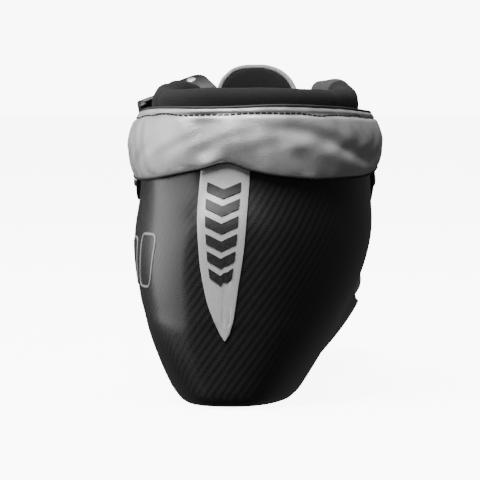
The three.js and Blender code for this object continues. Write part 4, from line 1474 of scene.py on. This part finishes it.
@dataclass
class Insides:
    """The pieces that only show from above: footbed, foam pads and toe board. Sizes in millimetres."""

    footbed_half: float = 0.62
    footbed_drop: float = 3.4
    footbed_thick: float = 3.2
    pad_off: float = -8.6
    pad_edge: float = 0.6
    pad_swell: float = 2.4

    def build(self) -> None:
        """Makes the footbed and the pads, and gives the frame's toe board, inserts and rivets their finishes.
        """
        i, j = spread(90, 40)
        bed = grid_piece("sock_footbed", layer_points(
            0.1, 1.6, lambda t: math.pi - self.footbed_half + 0 * t,
            lambda t: math.pi + self.footbed_half + 0 * t, i, j,
            lambda t, v: lining_off(t) - self.footbed_drop))
        wall(bed, self.footbed_thick, 1.2)
        place_on(bed, BOOT, FOOTBED_CLOTH, ["footbed"])
        for name, t0, t1, v0, v1 in (("outer_ankle_pad", 1.85, 2.55, 1.25, 2.35),
                                     ("inner_ankle_pad", 1.85, 2.55, -1.25, -2.35),
                                     ("heel_pad", 1.78, 2.3, 2.78, 2 * math.pi - 2.78)):
            self.pad(name, t0, t1, v0, v1)
        for name, finish in (("toe_stiffener", BOARD), ("forefoot_insert", ALLOY), ("heel_insert", ALLOY),
                             ("outer_strap_rivet", STEEL), ("inner_strap_rivet", STEEL)):
            finish.put_on(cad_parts[name])

    def pad(self, name: str, t0: float, t1: float, v0: float, v1: float) -> None:
        """A foam pad, thick in the middle and thin all round.

        Args:
            name: the name of the solid that it stands for.
            t0: its first ring.
            t1: its last ring.
            v0: its first angle.
            v1: its last angle.
        """
        def body(i: Array, c: Array, s: Array) -> Array:
            """Points on the pad's section."""
            t = mix(t0, t1, i)
            across = 0.5 + 0.5 * power(c, 0.7)
            hump = tapered(i, 3)
            distance = self.pad_off + np.where(s > 0, self.pad_edge + self.pad_swell * s * hump, 0.0) * hump
            return SKIN.world(SKIN.skin(t, mix(v0, v1, across * hump + 0.5 * (1 - hump)), distance))

        pad = rolled(f"{name}_foam", body, 30, 32)
        place_on(pad, BOOT, FOAM, [name])


# ---------------------------------------------------------------- lacing
@dataclass
class Lacing:
    """Ten eyelets and the lace. Sizes in millimetres."""

    rings: tuple[float, ...] = (0.66, 0.768, 0.876, 0.984, 2.16)
    inset: float = 6.5
    under: float = -7.25
    top: float = 0.6
    ring_radius: float = 2.85
    ring_bead: float = 0.85
    ring_flat: float = 0.62
    barrel_radius: float = 2.55
    barrel_length: float = 4.4
    barrel_wall: float = 0.5
    lace_radius: float = 1.75
    lace_flat: float = 0.62

    def axis(self, sign: float, number: int) -> tuple[Array, Array]:
        """Where an eyelet's axis meets the surface, and its direction.

        Args:
            sign: 1 on the outer side and -1 on the inner.
            number: its place in the row, 0 nearest the toe.

        Returns:
            The place in millimetres and the direction.
        """
        t = np.array(self.rings[number])
        p = SKIN.skin(t, sign * SKIN.throat_angle(t, self.inset))
        return p, SKIN.normal(p)

    def eyelet(self, name: str, place: Matrix) -> bpy.types.Object:
        """One eyelet, a rolled ring on a short barrel.

        Args:
            name: the piece's name.
            place: the matrix that puts it on the boot.

        Returns:
            The eyelet.
        """
        deselect()
        bpy.ops.mesh.primitive_torus_add(major_segments=32, minor_segments=12,
                                         major_radius=self.ring_radius * MM, minor_radius=self.ring_bead * MM)
        ring = added(name)
        ring.data.transform(Matrix.Diagonal((1, 1, self.ring_flat, 1)))
        deselect()
        bpy.ops.mesh.primitive_cylinder_add(vertices=32, radius=self.barrel_radius * MM,
                                            depth=self.barrel_length * MM, end_fill_type="NOTHING",
                                            location=(0, 0, -self.barrel_length / 2 * MM))
        barrel = added(name + "_barrel")
        settle(barrel)
        modify(barrel, "SOLIDIFY", thickness=self.barrel_wall * MM, offset=-1.0)
        eyelet = joined(name, [ring, barrel])
        eyelet.data.transform(place)
        smooth(eyelet, 50)
        return eyelet

    def build(self) -> None:
        """Makes the eyelets and the lace through them."""
        for side, sign in SIDES:
            for number in range(len(self.rings)):
                p, n = self.axis(sign, number)
                place = frame_at(SKIN.world(p + n * (self.top - 0.55)), n, (0.0, 1.0, 0.0))
                name = f"{side}_eyelet_{number + 1}"
                place_on(self.eyelet(f"{side}_ring_{number + 1}", place), BOOT, ALLOY, [name])
        self.lace()

    def lace(self) -> None:
        """The lace, straight across each pair of eyelets and under the panels to the next."""
        over = self.top + 1.5
        path: list[Array] = []
        for number in range(len(self.rings)):
            start, end = (1.0, -1.0) if number % 2 == 0 else (-1.0, 1.0)
            (a, na), (b, nb) = self.axis(start, number), self.axis(end, number)
            heights = (self.under + 1.2, UPPER_OFF, over - 0.9)
            path += [a + na * h for h in heights]
            across = np.array([mix(a, b, k) for k in (0.16, 0.33, 0.5, 0.67, 0.84)])
            path += list(SKIN.on_skin(across, over))
            path += [b + nb * h for h in heights[::-1]]
            if number < len(self.rings) - 1:
                c, _ = self.axis(end, number + 1)
                back = np.array([mix(b, c, k) for k in (0.2, 0.4, 0.6, 0.8)])
                path += list(SKIN.on_skin(back, self.under))
        curve = even_curve(np.array(path), 900)
        lace = tube_mesh("boot_lace", SKIN.world(curve), self.lace_radius * MM, 12, flat=self.lace_flat,
                         up=SKIN.normal(curve) + 1e-6)
        place_on(lace, BOOT, LACE_WEAVE, ["lace"])


def even_curve(points: Array, count: int) -> Array:
    """A centripetal curve through points, at even steps.

    Args:
        points: the points it goes through.
        count: how many points to return.

    Returns:
        The points on the curve.
    """
    p = np.vstack([2 * points[0] - points[1], points, 2 * points[-1] - points[-2]])
    pieces = []
    for i in range(1, len(p) - 2):
        p0, p1, p2, p3 = p[i - 1], p[i], p[i + 1], p[i + 2]
        t1 = np.linalg.norm(p1 - p0) ** 0.5
        t2 = t1 + np.linalg.norm(p2 - p1) ** 0.5
        t3 = t2 + np.linalg.norm(p3 - p2) ** 0.5
        t = np.linspace(t1, t2, 24, endpoint=False)[:, None]
        a1 = (t1 - t) / t1 * p0 + t / t1 * p1
        a2 = (t2 - t) / (t2 - t1) * p1 + (t - t1) / (t2 - t1) * p2
        a3 = (t3 - t) / (t3 - t2) * p2 + (t - t2) / (t3 - t2) * p3
        b1 = (t2 - t) / t2 * a1 + t / t2 * a2
        b2 = (t3 - t) / (t3 - t1) * a2 + (t - t1) / (t3 - t1) * a3
        pieces.append((t2 - t) / (t2 - t1) * b1 + (t - t1) / (t2 - t1) * b2)
    line = np.concatenate(pieces + [points[-1:]])
    return points_at(line, np.linspace(0, run_along(line)[-1], count))


# ---------------------------------------------------------------- instep strap and buckle
@dataclass
class StrapSet:
    """The ladder strap, the short outer strap and the lever buckle.

    Sizes in millimetres, angles in radians round the instep from its front. In the buckle's own axes u
    runs round the instep, s across the strap and n off the boot.
    """

    reach: float = 84.0
    height: float = 76.0
    width: float = 20.0
    thick: float = 2.0
    lift: float = 1.0
    buckle_angle: float = 0.5
    ladder_lift: float = 7.7
    end: float = 1.5
    seat_gap: float = 1.5
    pin_u: float = -4.0
    pin_n: float = 12.0
    pin_r: float = 2.0
    base_length: float = 20.0
    base_side: float = 2.0
    base_floor: float = 1.6
    cheek_short: float = 6.0
    cheek_height: float = 15.0
    cheek_round: float = 4.5
    lever_length: float = 24.0
    boss_wall: float = 2.2
    rib_starts: tuple[float, ...] = (8.0, 10.6, 13.2, 15.8)
    rib_width: float = 1.1
    tooth: tuple[float, float, float] = (1.5, 10.5, 0.9)
    tooth_step: float = 0.052
    tooth_lift: float = 0.35

    def skin(self, angle: Array, across: Array, distance: Value) -> Array:
        """Points round the instep in the strap's leaning plane.

        Args:
            angle: the angle round the instep from its front.
            across: millimetres across the strap from its middle line.
            distance: how far off the surface the points lie.

        Returns:
            The points in millimetres.
        """
        angle, across = np.broadcast_arrays(np.asarray(angle, float), np.asarray(across, float))
        lean = math.sqrt(0.5)
        start = np.stack([np.full_like(angle, -4.0), SKIN.heel_y - (self.reach - across * lean),
                          self.height + across * lean], -1)
        way = np.stack([np.sin(angle), -np.cos(angle) * lean, np.cos(angle) * lean], -1)
        return SKIN.off(SKIN.meet(start, way), distance)

    def ladder_off(self, angle: Array) -> Array:
        """How high the ladder strap runs, by angle."""
        return self.lift + self.ladder_lift * smoothstep(-0.35, 0.15, angle)

    def band(self, name: str, start: float, stop: float, steps: int, off: Curve) -> bpy.types.Object:
        """A flat strap with a rounded tip and rounded edges.

        Args:
            name: the strap's name.
            start: its first angle.
            stop: the angle of its rounded tip.
            steps: how many steps along.
            off: how high its underside runs, by angle.

        Returns:
            The strap.
        """
        i, j = spread(steps, 16)
        angle = mix(start, stop, i)
        tip = np.sqrt(np.clip(1 - np.clip((i - 0.93) / 0.07, 0, 1) ** 2 * 0.8, 0, 1))
        across = (j - 0.5) * self.width * tip
        crown = 0.25 * (1 - (2 * j - 1) ** 2)
        strap = grid_piece(name, SKIN.world(self.skin(angle, across, off(angle) + self.thick + crown)))
        wall(strap, self.thick, 0.5)
        return strap

    def build(self) -> None:
        """Makes the straps and the buckle."""
        ladder = self.band("ladder", -self.end, 0.98, 150, self.ladder_off)
        angles = np.arange(-0.2, 0.9, self.tooth_step)
        spots, ahead = (self.skin(a, 0.0, self.ladder_off(a) + self.thick + self.tooth_lift)
                        for a in (angles, angles + 0.02))
        tooth = cube("tooth", self.tooth)
        bevel(tooth, 0.3, 2)
        places = [frame_at(p, n, a - q)
                  for p, n, a, q in zip(SKIN.world(spots), SKIN.normal(spots), ahead, spots)]
        ladder = joined("ladder", [ladder, scatter("ladder_teeth", tooth, places)])
        place_on(ladder, BOOT, MATT_PLASTIC, ["ladder_strap"])
        outer = self.band("short_strap", 0.24, self.end, 90, lambda a: self.lift + 0 * a)
        place_on(outer, BOOT, MATT_PLASTIC, ["outer_strap"])
        self.buckle()

    def buckle(self) -> None:
        """The buckle's base, its pin and the lever, all in the buckle's own axes."""
        seat = self.skin(self.buckle_angle, 0.0, self.lift + self.thick + self.seat_gap)
        n = SKIN.normal(seat)
        u = self.skin(self.buckle_angle + 0.1, 0.0, 3.0) - self.skin(self.buckle_angle - 0.1, 0.0, 3.0)
        place = frame_at(SKIN.world(seat), n, u)
        half = self.width / 2 + 0.5
        out = half + self.base_side
        length = self.base_length / 2
        floor = self.block("base_floor", (-length, length), (-out, out), (0.0, self.base_floor), 0.5)
        cheeks = [self.cheek(f"cheek_{k}", s0, s1) for k, (s0, s1) in enumerate(((half, out), (-out, -half)))]
        base = joined("buckle_frame", [floor] + cheeks)
        base.data.transform(place)
        place_on(base, BOOT, GUNMETAL, ["buckle_base"])
        pin = self.rod("pin", self.pin_r, out + 0.3, 0.4)
        pin.data.transform(place)
        place_on(pin, BOOT, STEEL, ["lever_pin"])
        wide = half - 0.5
        end = self.pin_u + self.lever_length
        boss = self.rod("boss", self.pin_r + self.boss_wall, wide, 0.5)
        low = self.pin_n
        arm = self.block("arm", (self.pin_u + 1, end), (-wide, wide), (low + 0.6, low + 3.2), 0.9)
        tip = self.block("tip", (end - 3, end), (-wide, wide), (low - 1.5, low + 2.6), 0.9)
        ribs = [self.block(f"rib_{k}", (start, start + self.rib_width), (-wide + 2.5, wide - 2.5),
                           (low + 3.0, low + 3.7), 0.3) for k, start in enumerate(self.rib_starts)]
        lever = joined("lever_arm", [boss, arm, tip] + ribs)
        lever.data.transform(place)
        place_on(lever, "lever", GUNMETAL, ["buckle_lever"])

    def block(self, name: str, u: tuple, s: tuple, n: tuple, soft: float) -> bpy.types.Object:
        """A block between limits along the buckle's three axes, with softened edges.

        Args:
            name: the block's name.
            u: its limits round the instep.
            s: its limits across the strap.
            n: its limits off the boot.
            soft: the width of the softening.

        Returns:
            The block.
        """
        limits = (u, s, n)
        block = cube(name, [high - low for low, high in limits], [(high + low) / 2 for low, high in limits])
        bevel(block, soft, 3)
        smooth(block, 35)
        return block

    def cheek(self, name: str, s0: float, s1: float) -> bpy.types.Object:
        """One side plate, rounded over the pin.

        Args:
            name: the plate's name.
            s0: its lower limit across the strap.
            s1: its upper limit.

        Returns:
            The plate.
        """
        cheek = cube(name, (self.base_length - self.cheek_short, s1 - s0, self.cheek_height),
                     (-self.cheek_short / 2, (s0 + s1) / 2, self.cheek_height / 2))
        top = [v.index for v in cheek.data.vertices if v.co.z > self.cheek_height / 2 * MM]

        def pick_corners() -> None:
            """Selects the two short edges at the cheek's top."""
            bpy.ops.mesh.select_all(action="DESELECT")
            bpy.ops.object.mode_set(mode="OBJECT")
            for e in cheek.data.edges:
                a, b = (cheek.data.vertices[k].co for k in e.vertices)
                e.select = e.vertices[0] in top and e.vertices[1] in top and abs(a.x - b.x) < 1e-6
            bpy.ops.object.mode_set(mode="EDIT")
            bpy.ops.mesh.bevel(offset=self.cheek_round * MM, segments=8)

        edit(cheek, lambda: bpy.ops.mesh.select_mode(type="EDGE"), pick_corners)
        bevel(cheek, 0.35, 2, 40)
        smooth(cheek, 35)
        return cheek

    def rod(self, name: str, radius: float, half: float, soft: float) -> bpy.types.Object:
        """A round rod on the pin's axis with softened ends.

        Args:
            name: the rod's name.
            radius: its radius.
            half: half its length.
            soft: the width of the softening.

        Returns:
            The rod.
        """
        deselect()
        bpy.ops.mesh.primitive_cylinder_add(vertices=40, radius=radius * MM, depth=2 * half * MM,
                                            location=(self.pin_u * MM, 0, self.pin_n * MM),
                                            rotation=(math.pi / 2, 0, 0))
        rod = added(name)
        settle(rod)
        bevel(rod, soft, 3)
        smooth(rod, 35)
        return rod


# ---------------------------------------------------------------- studio
@dataclass
class Studio:
    """A plain pale floor, soft lights and the camera. Distances in metres (the sensor's in
    millimetres), angles in degrees."""

    azimuth: float = 183.8
    elevation: float = 2.6
    distance: float = 1.12
    aim_y: float = 0.12
    aim_height: float = 0.062
    sensor: float = 36.0
    frame_width: float = 0.180
    floor_glow: float = 8.0
    backdrop: float = 9.0
    room: float = 0.07

    def build(self) -> None:
        """Makes the floor, the lights and the camera."""
        self.floor()
        self.lights()
        self.camera()

    def floor(self) -> None:
        """A wide pale floor that glows for the camera but casts no light on the boot."""
        deselect()
        bpy.ops.mesh.primitive_plane_add(size=60, location=(0, 0, -0.0003))
        floor = added("studio_floor")
        settle(floor)
        made = bpy.data.materials.new("pale_floor")
        made.use_nodes = True
        shader = made.node_tree.nodes["Principled BSDF"]
        shader.inputs["Base Color"].default_value = (0.9, 0.9, 0.9, 1.0)
        shader.inputs["Roughness"].default_value = 1.0
        shader.inputs["Specular IOR Level"].default_value = 0.0
        shader.inputs["Emission Color"].default_value = (1.0, 1.0, 1.0, 1.0)
        shader.inputs["Emission Strength"].default_value = self.floor_glow
        floor.data.materials.append(made)
        floor.visible_diffuse = False
        floor.visible_glossy = False

    def lights(self) -> None:
        """A white backdrop with a dim room round it, and soft lights above, behind and on the outer side."""
        world = bpy.data.worlds.new("studio")
        bpy.context.scene.world = world
        world.use_nodes = True
        tree = world.node_tree
        g = Graph(tree)
        room = tree.nodes["Background"]
        room.inputs["Color"].default_value = (1.0, 1.0, 1.0, 1.0)
        room.inputs["Strength"].default_value = self.room
        backdrop = g.node("ShaderNodeBackground", {"Color": (1.0, 1.0, 1.0, 1.0), "Strength": self.backdrop})
        path = g.node("ShaderNodeLightPath")
        both = g.node("ShaderNodeMixShader", {0: path.outputs["Is Camera Ray"], 1: room.outputs[0],
                                              2: backdrop.outputs[0]})
        tree.links.new(both.outputs[0], tree.nodes["World Output"].inputs["Surface"])
        self.light("key", (0.45, 1.0, 1.5), (0.9, 0.9), 66.0)
        self.light("side", (1.5, 0.05, 0.3), (2.4, 1.0), 20.0)
        self.light("top", (0.0, -0.1, 1.8), (1.4, 1.4), 26.0)

    def light(self, name: str, place: tuple, size: tuple, power: float) -> None:
        """A rectangular soft light that faces the boot.

        Args:
            name: the light's name.
            place: its place in metres.
            size: its two sides in metres.
            power: in watts.
        """
        data = bpy.data.lights.new(name, "AREA")
        data.shape = "RECTANGLE"
        data.size, data.size_y = size
        data.energy = power
        lamp = bpy.data.objects.new(name, data)
        bpy.context.collection.objects.link(lamp)
        lamp.location = place
        lamp.rotation_euler = (Vector((0, 0, 0.06)) - Vector(place)).to_track_quat("-Z", "Y").to_euler()

    def camera(self) -> None:
        """The camera, behind the heel and a little to the inner side."""
        data = bpy.data.cameras.new("camera")
        camera = bpy.data.objects.new("camera", data)
        bpy.context.collection.objects.link(camera)
        a, e = math.radians(self.azimuth), math.radians(self.elevation)
        back = Vector((math.sin(a) * math.cos(e), -math.cos(a) * math.cos(e), math.sin(e)))
        aim = Vector((0.0, self.aim_y, self.aim_height))
        camera.location = aim + back * self.distance
        camera.rotation_euler = (-back).to_track_quat("-Z", "Y").to_euler()
        data.sensor_width = self.sensor
        data.lens = self.sensor * self.distance / self.frame_width
        data.clip_end = 100.0
        bpy.context.scene.camera = camera


def main() -> None:
    """Builds the studio and the boot, sub-assembly by sub-assembly."""
    logging.basicConfig(level=logging.INFO, format="%(name)s: %(message)s")
    Studio().build()
    for part in (Shell(), HeelStripe(), AnkleCuff(), Collar(), Upper(), Insides(), Lacing(), StrapSet()):
        LOG.info("building %s", type(part).__name__)
        part.build()


if __name__ == "__main__":
    main()
